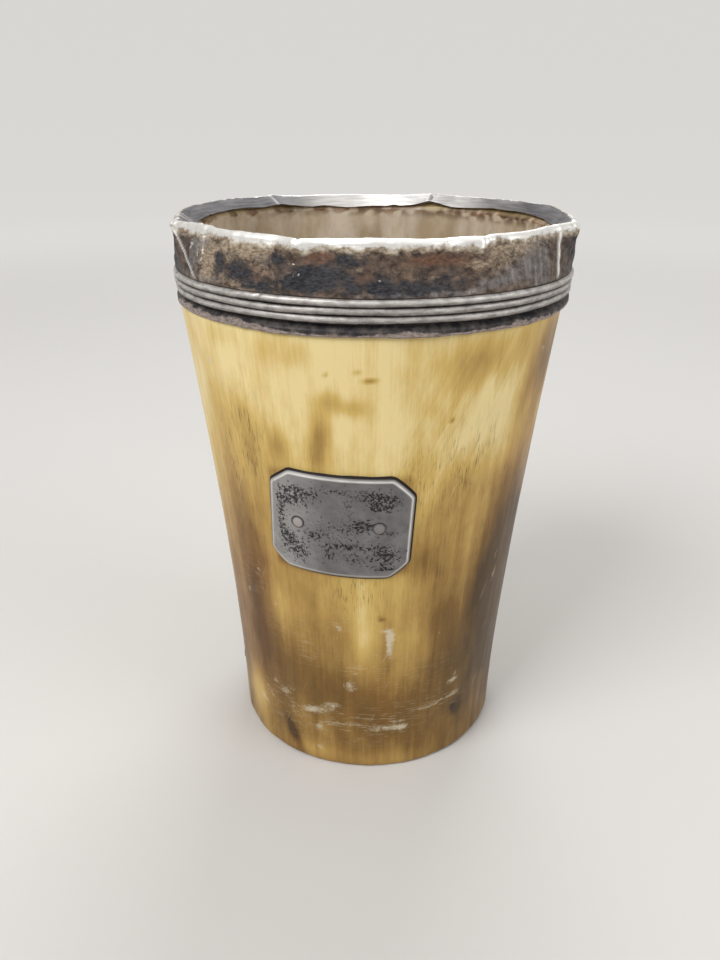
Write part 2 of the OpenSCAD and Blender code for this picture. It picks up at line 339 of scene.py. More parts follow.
def bore(z):
    """Inner radius: one wall inside the flank, then a straight line to the mouth."""
    turn_r = flank(BORE_TURN_Z) - WALL
    rising = turn_r + (MOUTH_BORE_R - turn_r) * (z - BORE_TURN_Z) / (HORN_TOP - BORE_TURN_Z)
    return np.where(z < BORE_TURN_Z, flank(z) - WALL, rising)


def rim_middle(angle):
    """Height of the silver rim between two corners: a little lower in front than behind."""
    return CUP_H - PEAK_ROOM - RIM_TILT * np.cos(angle)


def horn_outline():
    """Radius and height of one closed outline, as columns, and 1 where it is the outside."""
    sine, cosine = arc(7)
    foot = [flank(FOOT_ROUND) - FOOT_ROUND * (1 - sine), FOOT_ROUND * (1 - cosine)]
    rise = np.linspace(FOOT_ROUND, COLLAR_Z, 132)[1:, None]
    top = np.array([[SEAT_R, REED_Z], [LIP_R, MOUTH_HIGH], [float(bore(MOUTH_LOW)), MOUTH_LOW]])
    below = MOUTH_LOW - BEAD_ROOM
    fall = np.concatenate([np.linspace(MOUTH_LOW, below, 21)[1:], np.linspace(below, 0, 46)[1:]])
    fall = fall[:, None]
    radius = np.vstack([foot[0], flank(rise), top[:, :1], bore(fall)])
    height = np.vstack([foot[1], rise, top[:, 1:], fall])
    outside = np.vstack([np.ones_like(foot[0]), np.ones_like(rise), 0 * top[:, :1], 0 * fall])
    return radius, height, outside


HORN_COLUMNS = 448
PEG_CLEAR_R = 2.2
around = np.linspace(-np.pi, np.pi, HORN_COLUMNS, endpoint=False)[None, :]
radius, height, outside = horn_outline()

# Long scraped flats, shorter hollows and the worn edge of the foot, in millimetres. The wall
# round each peg stays as it is, so that the peg's end stands in it squarely
scraped = 0.03 * ripple(around, height, 9.0, 11, stretch=9)
scraped = scraped + 0.015 * ripple(around, height, 3.2, 12, stretch=8)
uneven = 0.07 * ripple(around, height, 60.0, 13, stretch=1.5)
foot_wear = -0.03 * np.clip(ripple(around, 0 * height, 16.0, 14), 0, 2) * np.exp(-(height / 1.6) ** 2)
near_peg = marks(around, height, [(at, PEG_Z, PEG_CLEAR_R, PEG_CLEAR_R, 1) for at in PEG_ANGLES])
under_silver = ease(height, COLLAR_Z - 1.5, COLLAR_Z)
relief = outside * (1 - np.clip(near_peg, 0, 1)) * (1 - under_silver) * (scraped + uneven + foot_wear)

# Inside, the scraper left a rougher wall, and dried pitch hangs below the folded tabs
under_tab = rim_middle(around) - TAB_DEPTH - height
bead_depth = 0.35 + 0.3 * np.clip(ripple(around, 0 * height, 6.0, 15), -1, 2)
bead_depth = bead_depth + 0.12 * ripple(around, 0 * height, 2.0, 16)
bead = ease(under_tab, -0.8, -0.2) * (1 - ease(under_tab, bead_depth, bead_depth + 0.35))
in_bore = (1 - outside) * (height < MOUTH_HIGH)
relief = relief + in_bore * (0.05 * ripple(around, height, 4.0, 17, stretch=7) - 0.25 * bead)
wall_r = radius + relief
print(f"scraped flats up to {np.abs(relief * outside).max():.2f} mm deep")

# %% [markdown]
# ## Marks on the horn
#
# The colour of horn changes slowly: honey near the mouth, brown towards the foot, with
# clouds and streaks where the horn was darker, and white scuffs where it has been knocked.
# Each kind of mark is a field over the surface that the finish reads by name. The places
# are angles in degrees and heights in millimetres, each with a half width, a half height
# and a strength, and with a sideways lean where the mark leans. Damp and dirt creep under
# the plate, so the horn has a darker halo just beyond the plate's edge.

# %% Lay the clouds, streaks, scuffs and cracks
CLOUDS = [
    (38, 36, 12, 20, 0.1, 0.1), (60, 46, 10, 28, 0.36, 0.1), (24, 44, 5, 10, 0.14),
    (30, 30, 4, 12, 0.1, 0.05), (46, 46, 4, 11, 0.22, 0.1), (-50, 33, 8, 16, 0.14),
    (-46, 52, 7, 22, 0.34), (-38, 76, 2.8, 8, 0.24), (-52, 66, 6, 16, 0.2), (-50, 84, 6, 8, 0.16),
    (-13.8, 80.5, 2.1, 6.5, 0.4, 0.12), (-10.5, 88, 2.6, 1.8, 0.24), (-5.5, 86.6, 3.4, 1.5, 0.22),
    (-27, 78, 2.2, 3, 0.26), (-7, 22, 18, 9, 0.12), (8, 14, 14, 7, 0.12), (18, 55, 2.6, 4.5, 0.26),
    (52, 86, 2.6, 8, 0.12, 0.3), (30, 72, 6, 6, 0.14, 0.3), (-33, 6, 1.7, 3.6, 0.5, -0.5),
    (31, 94, 9, 5, 0.38, 0.3), (64, 92, 9, 10, 0.54), (24, 62, 6, 9, 0.2), (47, 66, 9, 9, 0.26, 0.1),
    (-45, 97, 5, 2.5, 0.14), (-28, 96, 3, 3, 0.16), (-18, 96, 2, 2.4, 0.14), (39.4, 12, 2.2, 2.2, 0.3),
    (74, 42, 11, 34, 0.34), (-70, 34, 9, 22, 0.1), (-14, 62, 19, 14, 0.05), (100, 30, 18, 34, 0.2),
    (140, 60, 9, 26, 0.22, 0.1), (170, 20, 20, 14, 0.24), (-150, 70, 8, 22, 0.24, -0.1),
    (-110, 24, 16, 22, 0.22), (-95, 85, 5, 10, 0.18), (120, 88, 6, 8, 0.18, 0.2),
    (-11.5, 92.8, 0.45, 0.4, 0.5), (-3.3, 93.2, 0.7, 0.35, 0.24), (0, 91.7, 1.1, 0.35, 0.5),
    (23, 83.7, 0.4, 0.45, 0.6), (4.5, 41, 0.8, 0.5, 0.45, -0.5), (27, 80, 9, 13, 0.06),
    (30, 58, 8, 14, 0.1), (58, 50, 10, 14, 0.28), (64, 34, 8, 16, 0.18), (-47, 30, 6, 14, 0.14),
]
CLEARINGS = [
    (-2, 40, 3.6, 17, 0.3), (-54, 12, 5.5, 7, 0.36, 0.2), (-24, 3, 8, 2.6, 0.24), (-35, 42, 3, 6, 0.16),
    (18, 60, 5, 16, 0.12), (10, 2, 16, 2.4, 0.12), (17, 34, 6, 12, 0.2), (-30, 34, 6, 10, 0.08),
    (-22, 9, 9, 6, 0.14), (38, 8, 10, 6, 0.05), (-170, 45, 10, 30, 0.24), (110, 12, 6, 9, 0.3),
    (-130, 10, 7, 8, 0.26),
]
RED_ZONES = [
    (-50, 30, 8, 16, 0.8), (-41, 50, 3.5, 8, 0.7), (-4, 18, 9, 9, 0.35), (-20, 3, 14, 3, 0.55),
    (48, 66, 7, 18, 0.25, 0.1), (6, 17, 3, 9, 0.4), (150, 32, 12, 22, 0.5), (-105, 55, 10, 26, 0.5),
    (8, 36, 3, 4, 0.3), (-65, 52, 9, 32, 0.8), (60, 78, 8, 16, 0.5), (62, 40, 8, 24, 0.25),
    (-30, 60, 6, 20, 0.25),
]
SCUFFS = [
    (-36, 17, 2.6, 1.6, 0.9), (-41, 18.5, 1, 0.8, 0.9), (-31, 18.6, 1.6, 0.6, 0.8, 0.3),
    (-24, 14.4, 2.6, 1, 0.9, 0.3), (-14, 17, 3, 1, 1, 0.3), (-19, 15, 4.2, 1.4, 0.8, 0.3),
    (-32, 13, 3.4, 1.6, 0.6, -0.3), (-6.8, 23, 2.2, 1.9, 1), (-5, 26.5, 1.4, 0.8, 0.7),
    (-3, 28, 3, 0.5, 0.7), (8, 33.4, 1.1, 4.2, 1.2, -0.1), (8.5, 36.5, 1.5, 1.8, 1, -0.2),
    (4.6, 38, 2.2, 0.5, 0.9, -0.8), (-10.8, 38.4, 1.2, 1.2, 1.1, -0.6), (-20, 10, 1.7, 1.2, 1.1, 0.2),
    (-14, 11.8, 4.6, 0.6, 0.95, 0.2), (-4, 12.5, 5.6, 0.5, 0.85), (8, 11.4, 6, 0.8, 0.95),
    (14, 10.9, 1.9, 1, 1), (13.5, 13.1, 3.6, 0.5, 0.9), (2, 10.4, 4, 0.8, 0.5),
    (22, 15.3, 4.2, 0.45, 0.9), (30, 15.7, 4, 0.5, 0.95), (38, 16.4, 3, 0.7, 1.1),
    (24, 13.2, 1.6, 0.7, 0.6), (36.5, 20.4, 2.2, 1, 1.2, 0.4), (37.5, 22.3, 0.9, 0.7, 0.8),
    (34, 26, 1.4, 0.7, 0.7), (-50, 11, 2.4, 1.8, 0.9, -1), (-45, 14, 1.6, 2.4, 0.8, -0.8),
    (-20, 4.2, 1.5, 1, 0.9), (-51, 40.5, 1, 0.8, 1), (-43, 47.5, 1.2, 1, 0.8, -0.6),
    (-36, 40.5, 0.9, 0.8, 0.9), (-57, 84, 1.1, 0.9, 0.8, -0.5), (-52, 91, 1.1, 1.3, 1, -0.7),
    (-47, 88.8, 0.9, 0.9, 0.9, -0.7), (54, 44, 1.1, 2.6, 0.9, 0.2), (53, 49, 0.8, 1.4, 0.8, 0.1),
    (58, 93, 0.7, 0.9, 0.9), (-9, 40.9, 2.6, 0.3, 0.7), (20, 42.5, 2.4, 0.3, 0.7),
    (27, 35, 0.9, 2, 0.6), (17, 39.5, 1.4, 1.6, 0.6), (-12, 35.5, 1.3, 0.6, 0.6), (-9, 31, 1, 2.6, 0.5),
    (3, 31.6, 1.8, 0.4, 0.7), (150, 14, 4.2, 0.9, 1, 0.2), (-160, 26, 2.2, 1.8, 0.9),
    (100, 18, 3.2, 1, 1, 0.2), (-100, 12, 4, 0.7, 1), (-125, 30, 1.2, 3.6, 0.9, 0.1),
]
CRACKS = [
    (-38, 77, 5, 10, 1), (-50, 68, 5, 14, 0.8), (-4, 47, 7, 4.5, 1), (16, 70, 6, 9, 0.7, 0.1),
    (30, 74, 6, 8, 0.8, 0.2), (45, 50, 7, 26, 0.7, 0.1), (-16, 76, 4, 6, 0.4), (24, 52, 4, 10, 0.5),
    (-40, 52, 3, 12, 0.6), (150, 62, 12, 26, 0.6), (-140, 60, 12, 24, 0.6), (100, 60, 9, 22, 0.5),
]
SCRATCHED = [
    (-5, 12, 20, 4.5, 1, 0.1), (28, 16, 11, 2.5, 1, 0.1), (-28, 33, 7, 5, 0.8, -0.3),
    (-8, 40, 5, 2, 0.8), (-3, 28, 5, 2, 0.8), (18, 42.5, 4, 1.5, 0.7), (-42, 13, 9, 7, 0.8),
    (-48, 45, 6, 6, 0.7), (-48, 90, 7, 4, 0.6, 0.3), (20, 24, 14, 6, 0.4), (150, 16, 20, 8, 0.8),
    (-120, 30, 18, 16, 0.6),
]
SLANT_ZONES = [(30, 86, 12, 17, 0.6, 0.35), (-130, 84, 12, 16, 0.7, 0.3), (120, 80, 10, 18, 0.6, 0.3)]
SLANT_LEAN = 0.52
STAINED = [(130, 0, 22, 9, 1), (178, 0, 14, 9, 0.7), (-150, 0, 18, 9, 0.35), (20, 0, 30, 9, 0.7)]
HALO_W, HALO_H, HALO_FADE = 12.6, 9.8, 1.1

darkening = 0.64 - 0.58 * ease(height, 4.0, 94.0) + 0.05 * ripple(around, height, 26.0, 21, stretch=3.5)
tone = darkening + marks(around, height, CLOUDS) - marks(around, height, CLEARINGS)
beside = np.maximum(np.abs(side_of(around, PLATE_ANGLE, flank(PLATE_Z))) - HALO_W, 0)
beyond = np.maximum(np.abs(height - PLATE_Z) - HALO_H, 0)
halo = np.exp(-(np.hypot(beside, beyond) / HALO_FADE) ** 2) * outside
tone = tone + 0.24 * halo
tone = np.where(in_bore > 0, 0.42 + 0.10 * ripple(around, height, 7.0, 22, stretch=2.5), tone)
stained = marks(around, 0 * height, STAINED) * (1 - ease(under_tab, 1.0, 3.2))
blotched = ease(ripple(around, height, 3.0, 23, stretch=0.7), -0.9, 0.3)
# Just under each tab the dark bead is pitch and a painted shadow of the tab's lower edge. The brown
# blotches lower down are pitch stains.
pitch_stain_and_shadow = in_bore * (0.8 * bead + stained * blotched)
HORN_MARKS = {"scuffs": SCUFFS, "scratched": SCRATCHED, "cracks": CRACKS, "slanting": SLANT_ZONES}
horn_fields = {name: marks(around, height, places) * outside for name, places in HORN_MARKS.items()}
horn_fields["warmth"] = np.clip(marks(around, height, RED_ZONES) + 0.7 * halo, 0, 1) * outside
horn_fields["stain"] = np.clip(pitch_stain_and_shadow, 0, 1)
horn_fields["tone"], horn_fields["inner"] = tone, in_bore
horn_fields = {name: np.broadcast_to(field, tone.shape) for name, field in horn_fields.items()}
horn_fields["grain"] = turn(around, SHOULDER_R, height) * MM
horn_fields["slant"] = turn(around - SLANT_LEAN * height / SHOULDER_R, SHOULDER_R, height) * MM
horn = solid("horn_wall", turn(around, wall_r, height), grid_faces(len(radius), HORN_COLUMNS), horn_fields)

# %% [markdown]
# ## The finish of scraped horn
#
# Horn is keratin, with an index of refraction of 1.55, and light goes a few millimetres
# into it. Scraping and long use leave a soft gloss with a roughness of about 0.35. Fine
# scratches and grease take most of its mirror share, so the specular level is low, and the
# white room doesn't wash out the brown. The colour is a ramp from honey to dark brown. What
# moves along the ramp is the slow tone from the mesh plus noise drawn out along the horn:
# bundles of fibres 2.6 mm wide, strands of 0.6 mm, hairs of 0.24 mm and a mottle of 6 mm.
# Slanting growth lines cross the upper right. Scuffs are dry, white and rough.

# %% Make the horn finish


def horn_finish(name, darker=0.0):
    """Scraped and handled horn. The darker share moves the whole colour along the ramp."""
    material, tree, shader = finish(name, IOR=1.55, Specular_IOR_Level=0.12, Subsurface_Weight=0.22,
                                    Subsurface_Radius=(1.0, 0.5, 0.2), Subsurface_Scale=0.0022)
    grain = add(tree, "Attribute", out="Vector", attribute_name="grain")
    slant = add(tree, "Attribute", out="Vector", attribute_name="slant")
    held = ("tone", "warmth", "scuffs", "scratched", "cracks", "slanting", "stain", "inner")
    tone, warmth, scuffs, scratched, cracks, slanting, stain, inner = [
        add(tree, "Attribute", out="Fac", attribute_name=field) for field in held]
    bundles = spots(tree, grain, 2.6, 60.0, 4.0)
    strands = spots(tree, grain, 0.6, 18.0, 4.0)
    growth = spots(tree, slant, 2.2, 60.0)
    mottle = spots(tree, grain, 6.0, 11.0, 5.0)
    hairs = spots(tree, grain, 0.24, 3.0, 4.0, 0.65)

    # Each noise lies round 0.5, so half its share is taken off the tone again
    shares = ((bundles, 0.30), (strands, 0.14), (mottle, 0.42), (hairs, 0.15))
    level = add(tree, "Math", tone, darker - sum(share for _, share in shares) / 2, operation="ADD")
    for noise, share in shares:
        level = add(tree, "Math", noise, share, level, operation="MULTIPLY_ADD")
    growth = add(tree, "Math", growth, 0.5, operation="SUBTRACT")
    level = add(tree, "Math", growth, slanting, level, operation="MULTIPLY_ADD")
    colour = add(tree, "ValToRGB", level, stops=[
        (0.02, paint("#eedaa0")), (0.22, paint("#d6b76d")), (0.44, paint("#b59354")),
        (0.66, paint("#856638")), (0.92, paint("#513f27"))])
    red = add(tree, "MapRange", bundles, 0.3, 0.75, 0.0, 0.50)
    red = add(tree, "Math", red, warmth, operation="MULTIPLY")
    colour = add(tree, "Mix", red, colour, paint("#9c6430"), data_type="RGBA")

    # The bore is dry and pale, because drink has washed it and no hand has greased it; it is painted paler
    # still, as painted light that makes up for the shade inside the cup
    inner = add(tree, "Math", inner, 0.85, operation="MULTIPLY")
    pale_and_lit_bore = between(tree, mottle, 0.36, 0.62, "#b2a28d", "#e0d5c6")
    colour = add(tree, "Mix", inner, colour, pale_and_lit_bore, data_type="RGBA")

    # Dark drying cracks, thin and upright, where the cracks field allows them
    broken = add(tree, "MapRange", spots(tree, grain, 1.6, 4.0, 3.0), 0.42, 0.60)
    cut = add(tree, "MapRange", hairs, 0.51, 0.63)
    cut = add(tree, "Math", cut, broken, operation="MULTIPLY")
    cut = add(tree, "Math", cut, cracks, operation="MULTIPLY")
    shown = add(tree, "Math", cut, 0.75, operation="MULTIPLY")
    colour = add(tree, "Mix", shown, colour, paint("#4c3a26"), data_type="RGBA")

    # Scuffs break up into flecks, because only the high spots of the wall were hit
    flecks = spots(tree, grain, 1.1, 0.6, 7.0, 0.78)
    struck = add(tree, "Math", scuffs, 0.42, flecks, operation="MULTIPLY_ADD")
    struck = add(tree, "MapRange", struck, 0.72, 1.02)
    scratches = add(tree, "MapRange", spots(tree, slant, 4.0, 0.16, 1.0), 0.62, 0.72, 0.0, 0.7)
    scratches = add(tree, "Math", scratches, scratched, operation="MULTIPLY", use_clamp=True)
    struck = add(tree, "Math", struck, scratches, operation="MAXIMUM")
    shown = add(tree, "Math", struck, 0.78, operation="MULTIPLY")
    colour = add(tree, "Mix", shown, colour, paint("#dbd2b8"), data_type="RGBA")
    stray = add(tree, "MapRange", spots(tree, slant, 0.5, 9.0, 1.0), 0.735, 0.80, 0.0, 0.35)
    colour = add(tree, "Mix", stray, colour, paint("#e2d6b4"), data_type="RGBA")
    # Pitch and dirt stains, with the painted shadow under the tabs.
    stain = add(tree, "Math", stain, 0.85, operation="MULTIPLY")
    pitchy = between(tree, mottle, 0.4, 0.65, "#452c1c", "#8a5c30")
    colour = add(tree, "Mix", stain, colour, pitchy, data_type="RGBA")

    # Fibres 0.03 mm and hairs 0.02 mm high, and scuffs and cracks of 0.06 mm
    height = add(tree, "Bump", 0.5, 0.03 * MM, None, strands)
    height = add(tree, "Bump", 0.5, 0.02 * MM, None, hairs, height)
    broken = add(tree, "Math", struck, cut, operation="SUBTRACT")
    height = add(tree, "Bump", 0.7, 0.06 * MM, None, broken, height)
    dull = add(tree, "MapRange", mottle, 0.3, 0.8, 0.28, 0.44)
    dull = add(tree, "Math", struck, 0.3, dull, operation="MULTIPLY_ADD")
    plug(tree, shader, Base_Color=colour, Normal=height, Roughness=dull)
    return material


dress(horn, horn_finish("scraped_cow_horn"), "horn", "horn_body")

# %% [markdown]
# ## The disc in the foot
#
# The disc is a slice of darker horn pressed down the tapering bore. Seen through the mouth
# it is a shallow dish with a dark line of dirt round its edge, and from below it closes the
# hollow foot. It is a lathe shape: one outline from the middle of the top, over the edge, to
# the middle of the bottom, turned round the axis, with a trace of the scraper on it.

# %% Make the disc
DISH = 0.8
EDGE_FALL = DISH / 2
DISC_FIT = 0.05
disc_top_r = float(bore(DISC_HIGH)) - DISC_FIT
disc_low_r = float(bore(DISC_LOW)) - DISC_FIT


def disc_outline():
    """Radius and height from the middle of the dish to the middle of the underside."""
    out = np.linspace(0, 1, 34)[:, None]
    dish = DISC_HIGH - DISH * (1 - ease(out, 0.25, 0.97))
    edge = np.array([[disc_top_r, DISC_HIGH - EDGE_FALL], [disc_low_r, DISC_LOW]])
    back = np.linspace(1, 0, 26)[1:, None]
    return (np.vstack([out * (disc_top_r - EDGE_FALL), edge[:, :1], back * disc_low_r]),
            np.vstack([dish, edge[:, 1:], DISC_LOW + 0 * back]))


disc_columns = 192
disc_around = np.linspace(-np.pi, np.pi, disc_columns, endpoint=False)[None, :]
disc_r, disc_z = disc_outline()
east, north = disc_r * np.sin(disc_around), -disc_r * np.cos(disc_around)
chatter = 0.05 * np.sin(east * 1.3 + 0.6 * np.sin(north * 0.31)) + 0.05 * np.sin(north * 0.7 + 1.0)
flat_part = ease(disc_r, 0, 2.0) * (1 - ease(disc_r, disc_low_r - 2.5, disc_low_r - 1.0))
disc_points = turn(disc_around, disc_r, disc_z + chatter * flat_part)
disc_flat = np.stack(np.broadcast_arrays(east, north * 0.25, 0 * east), axis=-1) * MM
rim_dirt = ease(np.broadcast_to(disc_r, east.shape), disc_top_r - 2.4, disc_top_r - 0.2)
disc_tone = 0.62 + 0.14 * np.sin(east / 9.0 + 0.5) + 0.20 * rim_dirt
none = 0 * east
disc = solid("foot_disc", disc_points, grid_faces(len(disc_r), disc_columns, close_rows=False),
             {"grain": disc_flat, "slant": disc_flat, "tone": disc_tone, "warmth": none + 0.25,
              "scuffs": none + 0.12, "cracks": none + 0.3, "slanting": none, "stain": rim_dirt * 0.8,
              "scratched": none + 0.3, "inner": none}, weld=True)
dress(disc, horn_finish("scraped_disc_horn", darker=0.06), "disc_horn", "base_disc")

# %% [markdown]
# ## Pegs and rivets
#
# Both are turned shapes that stand square to the wall. `studs` lays one outline round an
# axis that leaves the flank at a right angle: x goes round the cup, y up the wall and z
# outwards. The pegs are dark horn, trimmed flush and slightly proud where the wall has
# shrunk. A rivet's head was hammered into its countersink, so a dark ring of dirt shows
# round a bright middle.

# %% Make the pegs and rivets
RIVET_UP = 0.3
RIVET_HALF_GAP = 15.3 / 2
PLATE_T = 0.7
PLATE_FIT = 0.05


def studs(name, angles, z, outline, fields):
    """One mesh with a turned stud at each angle: the outline's radius and height, from the
    inner end to the outer, go round an axis square to the flank at height z."""
    columns = 40
    spin = np.linspace(0, 2 * np.pi, columns, endpoint=False)[None, :]
    radius, out = np.array(outline, float).T[:, :, None]
    lean = math.atan((flank(z + 1) - flank(z - 1)) / 2)
    upright = np.array([0.0, 0.0, 1.0])
    grids, faces = [], []
    for number, at in enumerate(angles):
        angle = math.radians(at)
        level_out = np.array([math.sin(angle), -math.cos(angle), 0.0])
        outward = math.cos(lean) * level_out - math.sin(lean) * upright
        along = np.array([math.cos(angle), math.sin(angle), 0.0])
        up = np.cross(outward, along)
        centre = flank(z) * level_out + z * upright
        reach = (radius * np.cos(spin))[..., None] * along + (radius * np.sin(spin))[..., None] * up
        grids.append(centre + reach + np.broadcast_to(out, (len(radius), columns))[..., None] * outward)
        faces.append(grid_faces(len(radius), columns, close_rows=False) + number * len(radius) * columns)
    layers = {key: np.repeat(np.broadcast_to(values, (len(angles), len(outline))), columns, axis=1).ravel()
              for key, values in fields.items()}
    return solid(name, np.concatenate(grids), np.concatenate(faces), layers, weld=True)


PEG_R = 0.95
PEG_PROUD = 0.14
peg_outline = [(0, -7.2), (PEG_R, -7.2), (PEG_R, -0.2), (PEG_R, PEG_PROUD - 0.05),
               (0.86 * PEG_R, PEG_PROUD), (0.5 * PEG_R, PEG_PROUD + 0.02), (0, PEG_PROUD + 0.03)]
pegs = studs("foot_pegs", PEG_ANGLES, PEG_Z, peg_outline, {})

HEAD_R = 1.2
HEAD_FLAT_R = 0.98
TAIL_R = 1.6
SHANK_R = 0.75
FACE = PLATE_FIT + PLATE_T
rivet_angles = [PLATE_ANGLE + way * math.degrees(RIVET_HALF_GAP / flank(PLATE_Z)) for way in (-1, 1)]
TAIL_SEAT = -WALL - 0.1
rivet_outline = [
    (0, TAIL_SEAT - 0.9), (0.5 * TAIL_R, TAIL_SEAT - 0.82), (0.85 * TAIL_R, TAIL_SEAT - 0.45),
    (TAIL_R, TAIL_SEAT - 0.08), (0.97 * TAIL_R, TAIL_SEAT), (SHANK_R, TAIL_SEAT), (SHANK_R, FACE - 0.45),
    (HEAD_R, FACE - 0.13), (HEAD_R - 0.05, FACE - 0.10), (HEAD_FLAT_R, FACE + 0.04),
    (0.88 * HEAD_FLAT_R, FACE + 0.10), (0.5 * HEAD_FLAT_R, FACE + 0.15), (0, FACE + 0.17)]
# The dirt in the ring of the right rivet is nearly rubbed away
ring_dirt = np.array([[0, 0, 0, 0.3, 0.6, 1, 1, 1, 1, 0.50, 0.05, 0.05, 0.05],
                      [0, 0, 0, 0.3, 0.5, 0.75, 0.75, 0.75, 0.75, 0.68, 0.50, 0.50, 0.48]])
rivets = studs("rivets", rivet_angles, PLATE_Z + RIVET_UP, rivet_outline, {"groove": ring_dirt})

# %% [markdown]
# ## The collar's folds
#
# The collar is one sheet of silver, 0.4 mm thick. Below it is round. Above it was slit at
# eight places and folded in over the horn, and a straight fold can't follow a round mouth,
# so the rim came out as an uneven polygon, with bold corners where the sheet stood up and
# soft rounds where it gave way. Each side is the straight line between two corners, and the
# rim is the nearest of those lines in each direction. Between the reeds and the rim the
# radius passes from the round to the polygon, and the corners drift sideways.

# %% Work out the folded rim
SHEET_T = 0.4
SKIRT_R = SHOULDER_R + 0.65
HOLLOW = 1.1
HOLLOW_R = SKIRT_R - HOLLOW
LEAN = 0.12
BAND_FOOT_R = HOLLOW_R + LEAN * (BAND_Z - REED_Z)
FLARE_R = BAND_FOOT_R + 0.55
FLARE_Z = BAND_Z + 0.15
FLAT_R = SKIRT_R - 2.0
REACH = 3.1
ROLL_R = 1.0
AXIS_SHIFT = np.array([0.35, 0.0, 0.0])
RIM_CORNERS = np.array([-143.0, -102.0, -68.0, -18.5, 27.0, 69.0, 104.0, 158.0])
FOOT_CORNERS = np.array([-140.0, -104.0, -62.0, -19.5, 26.0, 67.0, 106.0, 156.0])
CORNER_R = FLAT_R + REACH * np.array([1.0, 0.65, 0.85, 0.5, 0.4, 0.87, 0.6, 1.0])
SOFT_ROUNDS = [(0, 2, 0.5), (5, 6, 0.45)]
SOFTNESS = 0.10


def folded(angle, share):
    """Radius of the fold. Seen from the axis, the line between corners a and b lies at
    a b sin(b - a) / (a sin(angle - a) + b sin(b - angle)). The nearest line counts, taken
    softly, which rounds the corners, and never inside the round that is left there."""
    foot, rim = FOOT_CORNERS[:, None, None], RIM_CORNERS[:, None, None]
    corner = np.radians(foot + (rim - foot) * share)
    after = np.roll(corner, -1, axis=0)
    near, far = CORNER_R[:, None, None], np.roll(CORNER_R, -1)[:, None, None]
    facing = near * np.sin(angle - corner) + far * np.sin(after - angle)
    lines = near * far * np.sin(after - corner) / np.maximum(facing, 15.0)
    least = FLAT_R - SOFTNESS * np.log(np.exp((FLAT_R - lines) / SOFTNESS).sum(axis=0))
    kept = FLAT_R + 0 * least
    for low, high, reach in SOFT_ROUNDS:
        middle, half = (corner[low] + corner[high]) / 2, (corner[high] - corner[low]) / 2
        off = np.abs(np.angle(np.exp(1j * (angle - middle))))
        kept = kept + REACH * reach * (1 - ease(off, half - 0.03, half + 0.03))
    return kept + SOFTNESS * np.logaddexp(0, (least - kept) / SOFTNESS)


# Columns stand 0.75 degrees apart, and 0.2 degrees apart at the corners
even = np.radians(np.arange(-180, 180, 0.75))
close = np.radians((RIM_CORNERS[:, None] + np.arange(-3.0, 3.0, 0.2)[None, :]).ravel())
close = np.angle(np.exp(1j * close))
collar_around = np.unique(np.round(np.concatenate([even, close]), 4))[None, :]
rim_fold = folded(collar_around, 1.0)
peak_share = np.clip((rim_fold - FLAT_R) / REACH, 0, 1)
print(f"collar columns: {collar_around.size}, rim radius {rim_fold.min():.2f} to {rim_fold.max():.2f} mm")

# %% [markdown]
# ## Dents, creases, slits and tabs
#
# Thin old silver is never smooth. Two ridges stand out in front, where a corner was pressed
# down to the reeds. The slit at the back right gapes, and at five others one tab lies over
# the next. Each line of `RIDGES` and `CREASES` is a narrow ridge or furrow that runs up the
# sheet: its angle at the reeds and at the rim, its half width, its height and how far up it
# starts. `OVERLAPS` holds an angle, how far a tab is lifted and to which side. The other
# lists shift the edges: an angle, a half width and a height.

# %% Work out the collar's surface
RIDGES = [(-52.8, -68, 0.27, 0.22, 0), (56.5, 60.5, 0.36, 0.22, 0)]
CREASES = [
    (-51.5, -52.5, 0.4, 0.18, 0.2), (-49.8, -50.2, 0.35, -0.22, 0.3), (-47.8, -47.5, 0.45, 0.14, 0.5),
    (-55, -57, 0.35, -0.16, 0.3), (-61, -66, 0.5, -0.14, 0.4), (-38, -36, 0.9, -0.1, 0.4),
    (53, 52, 0.8, -0.08, 0.3), (63, 71, 0.6, -0.14, 0.4), (-20, -17.5, 0.9, 0.1, 0.6),
    (8, 5, 0.8, 0.12, 0.6), (118, 115, 0.5, 0.12, 0.1), (-100, -101, 0.5, -0.12, 0.1),
    (-148, -147, 0.6, 0.1, 0.1), (170, 172, 0.5, -0.12, 0.2), (51, 67, 0.4, 0.08, 0.5),
    (76, 76, 5, 0.45, 0.2),
]
GAPING_SLIT = 158.0
OVERLAPS = [(-143, 0.3, 1), (-102, 0.22, -1), (-67, 0.22, 1), (27, 0.06, -1), (118, 0.28, 1)]
NICKS = [
    (-18.6, 0.3, 0.12), (3.9, 0.35, 0.1), (29, 0.6, 0.08), (-33, 0.5, 0.1), (-120, 0.5, 0.2),
    (-54, 0.5, 0.22), (70, 0.6, 0.2),
]
RISES = [(118, 20, 0.45), (-116, 20, 0.32), (-54, 4.5, 0.35)]
TAB_ENDS = [(GAPING_SLIT, 3.4, 0.75), (-141, 2.5, 0.25), (118, 16, 0.7), (-118, 18, 0.65),
            (-172, 9, -0.3), (172, 1, 0.15)]
TAB_END_LOSS = 0.35
TAB_SLANT = 0.35
TAB_INNER_R = MOUTH_BORE_R - 0.05 - SHEET_T


def off_line(angle, foot_at, rim_at, share):
    """Distance in mm round the cup from a line that goes from one angle to another."""
    middle = np.radians(foot_at + (rim_at - foot_at) * share)
    return np.angle(np.exp(1j * (angle - middle))) * SKIRT_R


def near_to(angle, places):
    """Sum of soft bumps round the cup: angle in degrees, half width in mm and height."""
    return sum(tall * np.exp(-(side_of(angle, at, SKIRT_R) / wide) ** 2) for at, wide, tall in places)


